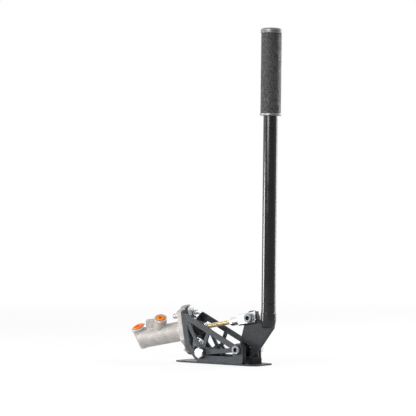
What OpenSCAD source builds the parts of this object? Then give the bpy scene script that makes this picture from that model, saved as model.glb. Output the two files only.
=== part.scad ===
// Vertical hydraulic handbrake: a truss frame on a base plate carries an upright lever,
// which pushes the piston of a master cylinder through a clevis and a pushrod.
// Millimetres. +X is towards the lever, +Z up, the right-hand side plate is at -Y.
// The origin is the middle of the four floor bolts, on the underside of the base plate.

/* [Base] */
// Length of the base plate
base_l = 180; // [160:1:220]
// Width of the base plate
base_w = 54; // [54:1:70]
// Thickness of the base plate
base_t = 3; // [3:0.5:6]
// Length of the sloping corners of the base plate
base_corner_l = 15; // [5:0.5:18]
// Width of those corners, across the base
base_corner_w = 5.5; // [3:0.5:8]
// Diameter of the floor bolt holes
base_hole_d = 8.5; // [6.5:0.1:9]
// Distance between the floor bolts along the base
base_pitch_l = 154; // [150:1:160]
// Distance between the floor bolts across the base
base_pitch_w = 30; // [26:1:34]
// Least metal round a floor bolt hole
base_hole_wall = 4.5; // [3:0.5:6]

/* [Frame] */
// Gap between the two lugs
lug_gap = 34; // [32:0.5:40]
// Thickness of a lug
lug_t = 4; // [3:0.5:5]
// Height of the sill that joins the two ends of a lug
lug_sill = 8; // [6:0.5:10]
// Thickness of the spacers between lug and side plate
spacer_t = 3; // [2:0.5:4]
// Outer diameter of those spacers
spacer_d = 17; // [15:0.5:18]
// Thickness of a side plate
plate_t = 3; // [2:0.5:4]
// Width of the truss's top chord
chord_w = 10; // [8:0.5:12]
// Width of the chord from the tie bolt to the pivot
lower_chord_w = 8; // [6:0.5:9]
// Width of the strut from the top corner to the tie bolt
strut_w = 6.5; // [5.5:0.5:10]
// Width of the short strut from the top chord to the tie bolt
short_strut_w = 7; // [6:0.5:9]
// Width of the member along the bulkhead
member_w = 6; // [5:0.5:11]
// Width of the sloping toe below that member
toe_w = 10.5; // [9:0.5:12]
// Depth of that member's foot below the cylinder's axis
foot_down = 31.5; // [30:0.5:34]
// Distance of the end of the toe behind the tie bolt
toe_back = 10; // [8:0.5:12]
// Depth of the end of the toe below the tie bolt
toe_down = 9; // [7:0.5:10]
// Height of the sill along the base plate
sill_h = 11.5; // [9:0.5:12]
// Diameter of the truss round the tie bolt
tie_lobe_d = 26; // [22:0.5:28]
// Diameter of the plates round the pivot bolt
pivot_lobe_d = 22; // [18:0.5:24]
// Chamfer on the lower front corner of the side plates
plate_chamfer = 3; // [2:0.5:7]
// Place of the short strut along the top chord, from the pivot
strut_place = 71; // [60:1:80]

/* [Pivot and tie bolt] */
// Distance of the pivot in front of the origin
pivot_x = 52; // [46:0.5:56]
// Height of the pivot above the floor
pivot_z = 27.5; // [26:0.5:30]
// Distance of the tie bolt behind the origin
tie_x = 28.5; // [24:0.5:32]
// Height of the tie bolt above the floor
tie_z = 19; // [17:0.5:20]
// Diameter of the pivot bolt, tie bolt, clevis bolt and studs
bolt_d = 10; // [8:0.5:10]
// Width across the flats of the hexagon heads and nuts
hex_af = 17; // [15:0.5:18]
// Height of a hexagon head
hex_head_h = 6.4; // [5:0.2:8]
// Height of a nut
nut_h = 8; // [6:0.5:10]
// Diameter of a socket head
socket_head_d = 16; // [14:0.5:17]
// Height of a socket head
socket_head_h = 7; // [6:0.5:10]
// Width across the flats of the socket in that head
socket_af = 7; // [5:0.5:8]
// Diameter of a washer
washer_d = 21; // [18:0.5:22]
// Thickness of a washer
washer_t = 2; // [1:0.5:2.5]
// Diameter of the sleeve that the lever turns on
sleeve_d = 13; // [12.5:0.5:14]
// Wall of the bronze bushes
bush_wall = 2; // [1.5:0.25:2.5]
// Thickness of the flange of a bronze bush
bush_flange_t = 2; // [1:0.5:2.5]
// Width of that flange beyond the bush
bush_lip = 1.2; // [1:0.1:2]
// Wall of the lever's pivot tube
pivot_tube_wall = 2.5; // [2:0.25:3]
// Width of the weld ring round the pivot tube
ring_w = 2.5; // [1.5:0.25:3]
// Height of the weld ring above the lever plate
ring_h = 2; // [1:0.5:3]
// Outer diameter of the tube round the tie bolt
tie_tube_d = 16; // [14:0.5:18]

/* [Lever] */
// Thickness of the lever plate
lever_t = 8; // [6:0.5:9]
// Radius of the lever plate round the pivot
lever_lobe_r = 15; // [14.5:0.5:16]
// Radius of the lever plate's ear round the clevis bolt
ear_r = 12.5; // [11:0.5:14]
// Distance of the clevis bolt in front of the pivot
pin_forward = 13.5; // [10:0.5:16]
// Height of the clevis bolt above the pivot
pin_up = 55; // [52:0.5:60]
// Distance of the lever's heel in front of the pivot
heel_forward = 15; // [14:0.5:16]
// Lean of the lever towards the front, in degrees
lever_lean = 0.8; // [0:0.1:2]
// Distance of the foot of the socket in front of the pivot
socket_forward = 46.5; // [44:0.5:52]
// Height of the foot of the socket above the pivot
socket_up = 40; // [38:0.5:44]
// Diameter of the socket's collar
collar_d = 27; // [26.6:0.2:30]
// Length of the socket's collar, with its tapered foot
collar_l = 24.5; // [20:0.5:26]
// Diameter of the tapered foot at its lower end
foot_d = 23; // [20:0.5:24]
// Length of the tapered foot
foot_l = 11; // [8:0.5:14]
// Depth of the slot that takes the lever plate
slot_depth = 11; // [8:0.5:13]
// Length of the socket above its collar
stub_l = 16; // [10:0.5:20]
// Length of the spigot inside the tube
spigot_l = 45; // [30:1:60]
// Diameter of the lever tube
tube_d = 25; // [22:0.2:26]
// Wall of the lever tube
tube_wall = 2; // [1.6:0.1:2.5]
// Length of the lever tube
tube_l = 474; // [350:1:550]
// Radius of the rounded stop in front of the heel
stop_r = 4; // [3.5:0.5:5]
// Length of that stop across the base
stop_w = 26; // [14:1:28]
// Height of the middle of the stop's rounding above the base plate
stop_up = 7.5; // [7.5:0.5:10]

/* [Grip] */
// Diameter of the grip sleeve
grip_d = 36; // [30:0.5:40]
// Length of the grip sleeve
grip_l = 138; // [100:1:160]
// Diameter of the rings at the ends of the grip
grip_ring_d = 37.6; // [37:0.2:42]
// Height of the lower ring
lower_ring_h = 4.5; // [3:0.5:8]
// Height of the upper ring
upper_ring_h = 6.5; // [5:0.5:9]
// Height of the rounded end cap
cap_h = 2.5; // [1.5:0.5:4]

/* [Clevis and pushrod] */
// Side of the clevis's square section
clevis_w = 20; // [18:0.5:22]
// Width of the clevis's slot
clevis_slot = 10; // [9.5:0.1:11]
// Length of the fork behind its bolt
fork_l = 27; // [25:0.5:30]
// Depth of the slot behind its bolt
fork_depth = 20.5; // [20:0.5:22]
// Length of the fork in front of its bolt
fork_nose = 10; // [9:0.5:11]
// Diameter of the clevis's neck
neck_d = 15; // [13:0.5:16]
// Length of the clevis's neck
neck_l = 15; // [12:0.5:20]
// Height of the jam nut behind the neck
jam_nut_h = 6.5; // [5:0.5:8]
// Diameter of the pushrod
rod_d = 8; // [7:0.5:8]
// Width across the flats of the nuts on the pushrod
rod_nut_af = 13; // [12:0.5:14]
// Diameter of the pushrod's ball end
ball_d = 12; // [11.5:0.5:12.5]
// Wall of the bush in the lever's ear
ear_bush_wall = 1.5; // [1:0.25:2]

/* [Master cylinder] */
// Tilt of the cylinder's axis, in degrees
cyl_tilt = 10.3; // [9:0.1:11]
// Distance from the clevis bolt to the cylinder's mounting face
mount_reach = 138; // [134:0.5:144]
// Thickness of the bulkhead
bulkhead_t = 5; // [4:0.5:6]
// Height of the bulkhead above the cylinder's axis
bulkhead_up = 34; // [30:0.5:36]
// Depth of the bulkhead below the cylinder's axis
bulkhead_down = 37; // [36:0.5:40]
// Chamfer on the upper corners of the bulkhead
bulkhead_chamfer = 3.5; // [2:0.5:6]
// Distance between the two studs
stud_pitch = 57.15; // [57:0.05:60]
// Length of the upper stud behind its outer nut
upper_stud_tail = 16; // [2:0.5:20]
// Length of the lower stud behind its outer nut
lower_stud_tail = 2; // [2:0.5:20]
// Diameter of the wide washers on the bulkhead
stud_washer_d = 26.5; // [20:0.5:26.5]
// Length of both studs in front of the inner nuts
stud_nose = 7; // [1:0.5:8]
// Thickness of the flange
flange_t = 12; // [8:0.5:14]
// Width of the flange
flange_w = 48; // [42:0.5:50]
// Depth of the flange's straight sides below the axis
flange_side = 18; // [14:0.5:24]
// Radius of the flange round a stud
flange_lobe_r = 16; // [12:0.5:16]
// Outer diameter of the cylinder
cyl_d = 35.5; // [30:0.5:36]
// Bore of the cylinder
bore_d = 19; // [18:0.05:20]
// Distance from the mounting face to the outlet boss
outlet_reach = 116; // [112:0.5:125]
// Diameter of the outlet boss
outlet_d = 25; // [22:0.5:27]
// Diameter of the outlet boss's rim
outlet_rim_d = 28; // [27:0.5:30]
// Height of the outlet boss above the axis
outlet_h = 23.5; // [22:0.5:26]
// Distance from the mounting face to the foot of the inlet boss
inlet_reach = 73.5; // [70:0.5:75]
// Diameter of the inlet boss
inlet_d = 22; // [20:0.5:24]
// Diameter of the inlet boss's rim
inlet_rim_d = 23.6; // [22.5:0.1:26]
// Height of the inlet boss above the axis
inlet_h = 38.5; // [34:0.5:40]
// Lean of the inlet boss towards the flange, in degrees
inlet_lean = 29; // [20:1:32]
// Roll of the inlet boss towards the right-hand side, in degrees
inlet_roll = 31.5; // [0:0.5:40]
// Roll of the outlet boss towards the right-hand side, in degrees
outlet_roll = 26.5; // [0:0.5:40]
// Thickness of the web behind the inlet boss
web_t = 5.5; // [5:0.5:9]
// Length of the web
web_l = 30; // [24:0.5:31]
// Fall of the web's upper edge, away from the boss
web_drop = 12.5; // [8:0.5:16]
// Diameter of the inlet plug's head
inlet_plug_d = 16; // [14:0.5:17]
// Diameter of the outlet plug's head
outlet_plug_d = 21.5; // [17:0.5:22]
// Diameter of the nose that passes through the bulkhead
nose_d = 29.5; // [28:0.5:29.5]
// Length of the nose in front of the mounting face
nose_l = 12; // [11:0.5:13]
// Stroke of the piston
stroke = 17.5; // [16:0.5:19]

/* [Hidden] */
$fn = 64;

// Clearances: a bolt in its hole, a running fit, a seat between two bodies, the lever between its lugs.
hole_gap = 0.2;
run_gap = 0.03;
seat_gap = 0.3;
side_gap = 0.5;
// A cut passes this far beyond a face.
cut = 1;
// Corners of an outline that end on a rounding lie this far inside it.
overlap = 0.2;

// Points of the side view are [x, z].
pivot = [pivot_x, pivot_z];
tie = [-tie_x, tie_z];
pin = pivot + [pin_forward, pin_up];
axis_dir = [cos(cyl_tilt), sin(cyl_tilt)];
axis_up = [-sin(cyl_tilt), cos(cyl_tilt)];
mount_face = pin - mount_reach * axis_dir;
function axis_point(along, up) = mount_face + along * axis_dir + up * axis_up;

// The stack of plates on either side, outwards from the middle.
lug_in = lug_gap / 2;
lug_out = lug_in + lug_t;
plate_in = lug_out + spacer_t;
plate_out = plate_in + plate_t;
plate_front = pivot_x + pivot_lobe_d / 2;
stud_up = stud_pitch / 2;

// Nodes of the truss.
truss_corner = axis_point(bulkhead_t + member_w / 2 - overlap, stud_up - chord_w / 2);
truss_foot = axis_point(bulkhead_t + member_w / 2 - overlap, -foot_down);
truss_toe = tie - [toe_back, toe_down];
chord_dir = (truss_corner - pivot) / norm(truss_corner - pivot);
truss_middle = pivot + strut_place * chord_dir;

// Sleeve, bushes and tube at the pivot, one inside the next.
bush_d = sleeve_d + 2 * (run_gap + bush_wall);
pivot_tube_d = bush_d + 2 * pivot_tube_wall;
ring_d = pivot_tube_d + 2 * ring_w;
pivot_tube_half = lug_in - side_gap - bush_flange_t;
ear_bush_d = bolt_d + 2 * (run_gap + ear_bush_wall);

// The socket's foot, and the lever plate's front edge down to the heel.
socket_foot = pivot + [socket_forward, socket_up];
heel = pivot + [heel_forward, -lever_lobe_r + seat_gap];
lever_front = socket_foot + [foot_d / 2, -seat_gap - cut];
front_dir = (lever_front - heel) / norm(lever_front - heel);
front_out = [front_dir[1], -front_dir[0]];
stop_z = base_t + stop_up;
stop_touch = heel + front_dir * (stop_z - heel[1] - (stop_r + seat_gap) * front_out[1]) / front_dir[1];
stop_middle = stop_touch + (stop_r + seat_gap) * front_out;
tube_start = collar_l + stub_l;
tube_end = tube_start + tube_l;
grip_start = tube_end - upper_ring_h - grip_l;
spigot_d = tube_d - 2 * tube_wall - 2 * hole_gap;

// Along the cylinder's axis, backwards from the mounting face is negative.
mouth_step = 2.5;
mouth_d = bore_d + 2 * mouth_step;
mouth_depth = 8;
stop_washer_t = 1.5;
circlip_t = 1.4;
circlip_depth = 1.5;
circlip_w = 3.5;
washer_seat = nose_l - mouth_depth;
piston_rear = washer_seat - seat_gap;
// The ball has play in the piston's cup, because the rod swings a little as it pushes.
ball_place = -4;
ball_gap = 0.6;
ball_play = 1.5;
cup_bottom = ball_place - ball_d / 2 - ball_gap;
cup_d = ball_d + 2 * ball_play;
piston_d = bore_d - 2 * run_gap;
piston_front = -54;
seal_l = 6;
seal_depth = 3;
groove_d = bore_d - 2 * seal_depth;
spring_pin_d = 8.5;
spring_seat_t = 1.5;
spring_start = piston_front - seal_l - spring_seat_t;
bore_end = -106;
spring_wire = 1.6;
spring_side_gap = 2;
spring_d = bore_d - 2 * spring_side_gap;
spring_turns = 7;
boot_room = 1.7;
collar_rear = nose_l + stroke + boot_room;
rod_nut_h = 6.5;
drill_d = 4;
port_depth = 12;
boss_rim_h = 4;
inlet_plug_h = 1.2;
outlet_plug_h = 2.2;
plug_step = 2;

module along_y(at, from, to) {
    translate([at[0], from, at[1]])
        rotate([-90, 0, 0])
            linear_extrude(to - from)
                children();
}

module plate_across(from, thick) {
    translate([0, from + thick, 0])
        rotate([90, 0, 0])
            linear_extrude(thick)
                children();
}

module hexagon(af) {
    circle(d = af / cos(30), $fn = 6);
}

module ring(outer, inner) {
    difference() {
        circle(d = outer);
        circle(d = inner);
    }
}

// A straight bar from one point of the side view to another.
module bar(from, to, width) {
    run = to - from;
    translate(from)
        rotate(atan2(run[1], run[0]))
            translate([0, -width / 2])
                square([norm(run), width]);
}

// A solid bar between two points, rounded at both ends. Its sides run just inside the roundings.
module link(from, to, width) {
    bar(from, to, width - overlap);
    translate(from) circle(d = width);
    translate(to) circle(d = width);
}

module in_axis_frame() {
    translate([mount_face[0], 0, mount_face[1]])
        rotate([0, -cyl_tilt, 0])
            children();
}

// A turned piece on the cylinder's axis: its own height runs forwards from the given place.
module turned_on_axis(from) {
    in_axis_frame()
        translate([from, 0, 0])
            rotate([0, 90, 0])
                children();
}

// An outline across the axis, its own Y upwards, extruded forwards from the given place.
module outline_on_axis(from, thick) {
    in_axis_frame()
        translate([from, 0, 0])
            rotate([90, 0, 90])
                linear_extrude(thick)
                    children();
}

module at_studs() {
    for (side = [-1, 1])
        translate([0, side * stud_up])
            children();
}

module in_lever_frame(up) {
    translate([socket_foot[0], 0, socket_foot[1]])
        rotate([0, lever_lean, 0])
            translate([0, 0, up])
                children();
}

module in_inlet_frame() {
    in_axis_frame()
        translate([-inlet_reach, 0, 0])
            rotate([inlet_roll, 0, 0])
                rotate([0, inlet_lean, 0])
                    children();
}

module in_outlet_frame() {
    in_axis_frame()
        translate([-outlet_reach, 0, 0])
            rotate([outlet_roll, 0, 0])
                children();
}

module socket_screw(at, head_face, end) {
    difference() {
        union() {
            along_y(at, head_face, head_face + socket_head_h) circle(d = socket_head_d);
            along_y(at, head_face + socket_head_h, end) circle(d = bolt_d);
        }
        along_y(at, head_face - cut, head_face + socket_head_h / 2) hexagon(socket_af);
    }
}

module base_plate() {
    long = base_l / 2;
    wide = base_w / 2;
    color("dimgray")
        difference() {
            linear_extrude(base_t) {
                polygon([
                    [long, wide - base_corner_w], [long - base_corner_l, wide],
                    [base_corner_l - long, wide], [-long, wide - base_corner_w],
                    [-long, base_corner_w - wide], [base_corner_l - long, -wide],
                    [long - base_corner_l, -wide], [long, base_corner_w - wide]
                ]);
                for (y = [-1, 1] * base_pitch_w / 2)
                    link([-base_pitch_l / 2, y], [base_pitch_l / 2, y], base_hole_d + 2 * base_hole_wall);
            }
            for (x = [-1, 1], y = [-1, 1])
                translate([x * base_pitch_l / 2, y * base_pitch_w / 2, -cut])
                    cylinder(d = base_hole_d, h = base_t + 2 * cut);
        }
}

module lug_outline() {
    rear = tie[0] - pivot_lobe_d / 2;
    difference() {
        union() {
            translate([rear, base_t]) square([plate_front - rear, lug_sill]);
            for (bolt = [tie, pivot]) {
                translate([bolt[0] - pivot_lobe_d / 2, base_t]) square([pivot_lobe_d, bolt[1] - base_t]);
                translate(bolt) circle(d = pivot_lobe_d);
            }
        }
        for (bolt = [tie, pivot])
            translate(bolt) circle(d = bolt_d + 2 * hole_gap);
    }
}

module lug_right() {
    color("dimgray") plate_across(-lug_out, lug_t) lug_outline();
}

module lug_left() {
    color("dimgray") plate_across(lug_in, lug_t) lug_outline();
}

module truss_outline() {
    difference() {
        union() {
            link(truss_corner, pivot, chord_w);
            link(truss_corner, tie, strut_w);
            bar(truss_middle, tie, short_strut_w);
            bar(tie, pivot, lower_chord_w);
            bar(truss_corner, truss_foot, member_w);
            link(truss_foot, truss_toe, toe_w);
            translate([truss_toe[0], base_t]) square([plate_front - truss_toe[0], sill_h]);
            translate([plate_front - pivot_lobe_d, base_t]) square([pivot_lobe_d, pivot[1] - base_t]);
            translate(tie) circle(d = tie_lobe_d);
            translate(pivot) circle(d = pivot_lobe_d);
        }
        translate([-base_l, base_t - base_l]) square([2 * base_l, base_l]);
        translate(mount_face)
            rotate(cyl_tilt)
                translate([bulkhead_t - base_l, -base_l])
                    square([base_l, 2 * base_l]);
        translate([plate_front, base_t])
            rotate(45)
                square(plate_chamfer / cos(45), center = true);
        for (bolt = [tie, pivot])
            translate(bolt) circle(d = bolt_d + 2 * hole_gap);
    }
}

module side_plate_right() {
    color("slategray") plate_across(-plate_out, plate_t) truss_outline();
}

module side_plate_left() {
    color("slategray") plate_across(plate_in, plate_t) truss_outline();
}

module cylinder_bulkhead() {
    shoulder = bulkhead_up - bulkhead_chamfer;
    color("dimgray")
        outline_on_axis(0, bulkhead_t)
            difference() {
                union() {
                    polygon([
                        [-plate_out, -bulkhead_down], [plate_out, -bulkhead_down],
                        [plate_out, shoulder], [plate_out - bulkhead_chamfer, bulkhead_up],
                        [bulkhead_chamfer - plate_out, bulkhead_up], [-plate_out, shoulder]
                    ]);
                    at_studs() circle(d = stud_washer_d);
                }
                circle(d = nose_d + 2 * hole_gap);
                at_studs() circle(d = bolt_d + 2 * hole_gap);
            }
}

module frame_spacers() {
    color("gray")
        for (bolt = [tie, pivot], from = [-plate_in, lug_out])
            along_y(bolt, from, from + spacer_t)
                ring(spacer_d, bolt_d + 2 * hole_gap);
}

tie_head_face = -plate_out - washer_t - hex_head_h;
tie_nut_face = plate_out + washer_t;

module tie_bolt() {
    color("gainsboro") {
        along_y(tie, tie_head_face, tie_head_face + hex_head_h) rotate(30) hexagon(hex_af);
        along_y(tie, tie_head_face + hex_head_h, tie_nut_face + nut_h + cut) circle(d = bolt_d);
    }
}

module tie_washers() {
    color("gainsboro")
        for (from = [-plate_out - washer_t, plate_out])
            along_y(tie, from, from + washer_t)
                ring(washer_d, bolt_d + 2 * hole_gap);
}

module tie_nut() {
    color("gainsboro")
        along_y(tie, tie_nut_face, tie_nut_face + nut_h)
            difference() {
                hexagon(hex_af);
                circle(d = bolt_d + 2 * run_gap);
            }
}

module tie_tube() {
    color("dimgray")
        along_y(tie, -lug_in, lug_in)
            ring(tie_tube_d, bolt_d + 2 * hole_gap);
}

module lever_stop() {
    color("dimgray")
        plate_across(-stop_w / 2, stop_w)
            union() {
                translate(stop_middle) circle(r = stop_r);
                translate([stop_middle[0] - stop_r, base_t]) square([2 * stop_r, stop_up]);
            }
}

pivot_nut_face = plate_out + washer_t;

module pivot_bolt() {
    color("silver") socket_screw(pivot, -plate_out - socket_head_h, pivot_nut_face + nut_h + cut);
}

module pivot_washer() {
    color("gainsboro")
        along_y(pivot, plate_out, pivot_nut_face)
            ring(pivot_lobe_d, bolt_d + 2 * hole_gap);
}

module pivot_nut() {
    color("gainsboro")
        along_y(pivot, pivot_nut_face, pivot_nut_face + nut_h)
            difference() {
                hexagon(hex_af);
                circle(d = bolt_d + 2 * run_gap);
            }
}

module pivot_sleeve() {
    color("silver")
        along_y(pivot, -lug_in, lug_in)
            ring(sleeve_d, bolt_d + 2 * hole_gap);
}

// Square shoulders above the axis, and sides that run in to the lower stud.
module flange_outline() {
    half = flange_w / 2;
    corner = flange_lobe_r / 2;
    top = stud_up + corner;
    polygon([
        [overlap - flange_lobe_r, -stud_up], [flange_lobe_r - overlap, -stud_up],
        [half, -flange_side], [half, top - corner], [half - corner, top - corner], [half - corner, top],
        [corner - half, top], [corner - half, top - corner], [-half, top - corner], [-half, -flange_side]
    ]);
    for (x = [-1, 1])
        translate([x * (half - corner), top - corner])
            circle(r = corner);
    at_studs() circle(r = flange_lobe_r);
}

// The web stands behind the inlet boss, its rear edge parallel to the boss.
module web_outline() {
    top = inlet_h - boss_rim_h / 2;
    polygon([[0, 0], [0, top], [-web_l, top - web_drop], [-web_l, 0]]);
}

// The cone between cylinder and flange is spot-faced for the washers.
module cylinder_body() {
    fillet_l = 8.5;
    outlet_foot = cyl_d / 2 - 2 * cut;
    groove_w = circlip_t + 2 * hole_gap;
    color("gainsboro")
        difference() {
            union() {
                turned_on_axis(-outlet_reach) cylinder(d = cyl_d, h = outlet_reach);
                turned_on_axis(-flange_t - fillet_l) cylinder(d1 = cyl_d, d2 = cyl_d + fillet_l / 2, h = fillet_l);
                turned_on_axis(0) cylinder(d = nose_d, h = nose_l);
                outline_on_axis(-flange_t, flange_t) flange_outline();
                in_outlet_frame() {
                    translate([0, 0, -outlet_foot]) cylinder(d = outlet_d, h = outlet_foot + outlet_h);
                    translate([0, 0, outlet_h - boss_rim_h]) cylinder(d = outlet_rim_d, h = boss_rim_h);
                }
                in_inlet_frame() {
                    cylinder(d = inlet_d, h = inlet_h);
                    translate([0, 0, inlet_h - boss_rim_h]) cylinder(d = inlet_rim_d, h = boss_rim_h);
                    translate([0, web_t / 2, 0])
                        rotate([90, 0, 0])
                            linear_extrude(web_t)
                                web_outline();
                }
            }
            turned_on_axis(bore_end) cylinder(d = bore_d, h = nose_l - bore_end + cut);
            turned_on_axis(washer_seat) cylinder(d = mouth_d, h = mouth_depth + cut);
            turned_on_axis(washer_seat + stop_washer_t) cylinder(d = mouth_d + 2 * circlip_depth, h = groove_w);
            turned_on_axis(-outlet_reach) cylinder(d = drill_d, h = outlet_reach);
            in_outlet_frame() {
                cylinder(d = drill_d, h = outlet_h + cut);
                translate([0, 0, outlet_h - port_depth]) cylinder(d = outlet_plug_d - 2 * plug_step, h = port_depth + cut);
            }
            in_inlet_frame() {
                cylinder(d = drill_d, h = inlet_h + cut);
                translate([0, 0, inlet_h - port_depth]) cylinder(d = inlet_plug_d - 2 * plug_step, h = port_depth + cut);
            }
            outline_on_axis(-flange_t - cut, flange_t + 2 * cut)
                at_studs() circle(d = bolt_d + 2 * hole_gap);
            outline_on_axis(-flange_t - fillet_l - cut, fillet_l + cut)
                at_studs() circle(d = washer_d + 2 * seat_gap);
        }
}

inner_nut_from = bulkhead_t + washer_t;
outer_nut_from = -flange_t - washer_t - nut_h;

module stud(up, tail) {
    from = outer_nut_from - tail;
    outline_on_axis(from, inner_nut_from + nut_h + stud_nose - from)
        translate([0, up]) circle(d = bolt_d);
}

module cylinder_studs() {
    color("gainsboro") {
        stud(stud_up, upper_stud_tail);
        stud(-stud_up, lower_stud_tail);
    }
}

module cylinder_washers() {
    color("gainsboro") {
        outline_on_axis(-flange_t - washer_t, washer_t)
            at_studs() ring(washer_d, bolt_d + 2 * hole_gap);
        outline_on_axis(bulkhead_t, washer_t)
            at_studs() ring(stud_washer_d, bolt_d + 2 * hole_gap);
    }
}

module stud_nut_outline() {
    at_studs()
        difference() {
            hexagon(hex_af);
            circle(d = bolt_d + 2 * run_gap);
        }
}

module cylinder_outer_nuts() {
    color("gainsboro") outline_on_axis(outer_nut_from, nut_h) stud_nut_outline();
}

module cylinder_inner_nuts() {
    color("gainsboro") outline_on_axis(inner_nut_from, nut_h) stud_nut_outline();
}

module port_plug(head_d, head_h, recess_d, recess_depth) {
    shank_d = head_d - 2 * plug_step - 2 * hole_gap;
    difference() {
        union() {
            translate([0, 0, -port_depth + cut]) cylinder(d = shank_d, h = port_depth);
            cylinder(d = head_d, h = head_h);
        }
        translate([0, 0, head_h - recess_depth]) cylinder(d = recess_d, h = recess_depth + cut);
    }
}

module inlet_plug() {
    color("darkorange")
        in_inlet_frame()
            translate([0, 0, inlet_h])
                port_plug(inlet_plug_d, inlet_plug_h, inlet_plug_d / 3, port_depth / 2);
}

module outlet_plug() {
    color("orangered")
        in_outlet_frame()
            translate([0, 0, outlet_h])
                port_plug(outlet_plug_d, outlet_plug_h, outlet_plug_d - 4 * plug_step, outlet_plug_h / 2);
}

module stop_washer() {
    color("silver")
        turned_on_axis(washer_seat)
            linear_extrude(stop_washer_t)
                ring(mouth_d - 2 * hole_gap, rod_d + 2 * ball_play);
}

module circlip() {
    gap_w = 6;
    outer = mouth_d + 2 * circlip_depth - 2 * hole_gap;
    color("dimgray")
        turned_on_axis(washer_seat + stop_washer_t + hole_gap)
            linear_extrude(circlip_t)
                difference() {
                    ring(outer, outer - 2 * circlip_w);
                    translate([0, -gap_w / 2]) square([outer, gap_w]);
                }
}

// A wire swept along a helix: rings of points, each in the plane through the axis.
module coil(wire, mean_d, length, turns) {
    sides = 8;
    per_turn = 14;
    count = turns * per_turn;
    points = [
        for (i = [0 : count], j = [0 : sides - 1])
            let (turn = 360 * i / per_turn, reach = mean_d / 2 + wire / 2 * cos(360 * j / sides))
                [
                    reach * cos(turn), reach * sin(turn),
                    wire / 2 + (length - wire) * i / count + wire / 2 * sin(360 * j / sides)
                ]
    ];
    walls = [
        for (i = [0 : count - 1], j = [0 : sides - 1])
            let (next = (j + 1) % sides)
                [i * sides + j, i * sides + next, (i + 1) * sides + next, (i + 1) * sides + j]
    ];
    first_end = [for (j = [sides - 1 : -1 : 0]) j];
    last_end = [for (j = [0 : sides - 1]) count * sides + j];
    polyhedron(points, concat(walls, [first_end, last_end]));
}

module return_spring() {
    color("silver")
        turned_on_axis(bore_end + seat_gap)
            coil(spring_wire, spring_d - spring_wire, spring_start - bore_end - 2 * seat_gap, spring_turns);
}

// Bellows: a row of ridges and valleys, narrower towards the rod.
module dust_boot() {
    folds = 4;
    wall = 1.2;
    lip = 4;
    start = nose_l - lip;
    length = collar_rear - seat_gap - start;
    fold_l = (length - 2 * lip) / folds;
    wide = nose_d / 2 + seat_gap + wall;
    narrow = rod_d / 2 + lip;
    grip = rod_d / 2 + seat_gap;
    function ridge(k) = wide - (wide - narrow) * k / folds;
    outside = [
        for (k = [0 : folds - 1])
            each [[ridge(k), lip + k * fold_l], [ridge(k) - wall * 2, lip + (k + 0.5) * fold_l]]
    ];
    inside = [for (k = [len(outside) - 1 : -1 : 0]) outside[k] - [wall, -wall / 4]];
    color("black")
        turned_on_axis(start)
            rotate_extrude()
                polygon(concat(
                    [[nose_d / 2 + hole_gap, 0], [wide, 0]],
                    outside,
                    [[grip + wall, length - lip], [grip + wall, length], [grip, length], [grip, length - lip]],
                    inside,
                    [[nose_d / 2 + hole_gap, lip]]
                ));
}

module piston() {
    color("silver")
        difference() {
            union() {
                turned_on_axis(piston_front) cylinder(d = piston_d, h = piston_rear - piston_front);
                turned_on_axis(piston_front - seal_l) cylinder(d = spring_pin_d, h = seal_l);
                turned_on_axis(spring_start) cylinder(d = groove_d, h = spring_seat_t);
            }
            turned_on_axis(cup_bottom) cylinder(d = cup_d, h = piston_rear - cup_bottom + cut);
            turned_on_axis(cup_bottom - 3 * seal_l)
                linear_extrude(seal_l)
                    ring(bore_d + cut, groove_d);
        }
}

module primary_seal() {
    color("black")
        turned_on_axis(piston_front - seal_l + hole_gap)
            linear_extrude(seal_l - 2 * hole_gap)
                ring(piston_d, spring_pin_d + 2 * run_gap);
}

module secondary_seal() {
    color("black")
        turned_on_axis(cup_bottom - 3 * seal_l + hole_gap)
            linear_extrude(seal_l - 2 * hole_gap)
                ring(piston_d, groove_d + 2 * run_gap);
}

module lever_outline() {
    run = (pin - pivot) / norm(pin - pivot);
    slope = (lever_lobe_r - ear_r) / norm(pin - pivot);
    back = slope * run + sqrt(1 - slope * slope) * [-run[1], run[0]];
    slot_top = socket_foot[1] + slot_depth - seat_gap;
    difference() {
        union() {
            translate(pivot) circle(r = lever_lobe_r);
            translate(pin) circle(r = ear_r);
            polygon([
                [pivot[0], heel[1]], heel, lever_front,
                [lever_front[0] - cut, slot_top], [socket_foot[0] - foot_d / 2, slot_top],
                pin, pin + (ear_r - overlap) * back, pivot + (lever_lobe_r - overlap) * back, pivot
            ]);
        }
        translate(pivot) circle(d = pivot_tube_d + 2 * run_gap);
        translate(pin) circle(d = ear_bush_d + 2 * run_gap);
    }
}

module lever_plate() {
    color("dimgray") plate_across(-lever_t / 2, lever_t) lever_outline();
}

module pivot_tube() {
    color("black")
        along_y(pivot, -pivot_tube_half, pivot_tube_half)
            ring(pivot_tube_d, bush_d + 2 * run_gap);
}

module pivot_rings() {
    color("gray")
        for (from = [-lever_t / 2 - ring_h, lever_t / 2])
            along_y(pivot, from, from + ring_h)
                ring(ring_d, pivot_tube_d + 2 * run_gap);
}

module pivot_bushes() {
    bush_l = pivot_tube_half / 2;
    color("peru")
        for (side = [0, 1])
            mirror([0, side, 0]) {
                along_y(pivot, -pivot_tube_half, -pivot_tube_half + bush_l) ring(bush_d, sleeve_d + 2 * run_gap);
                along_y(pivot, -pivot_tube_half - bush_flange_t, -pivot_tube_half)
                    ring(bush_d + 2 * bush_lip, sleeve_d + 2 * run_gap);
            }
}

module ear_bush() {
    half = clevis_slot / 2 - seat_gap;
    color("peru") along_y(pin, -half, half) ring(ear_bush_d, bolt_d + 2 * run_gap);
}

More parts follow.
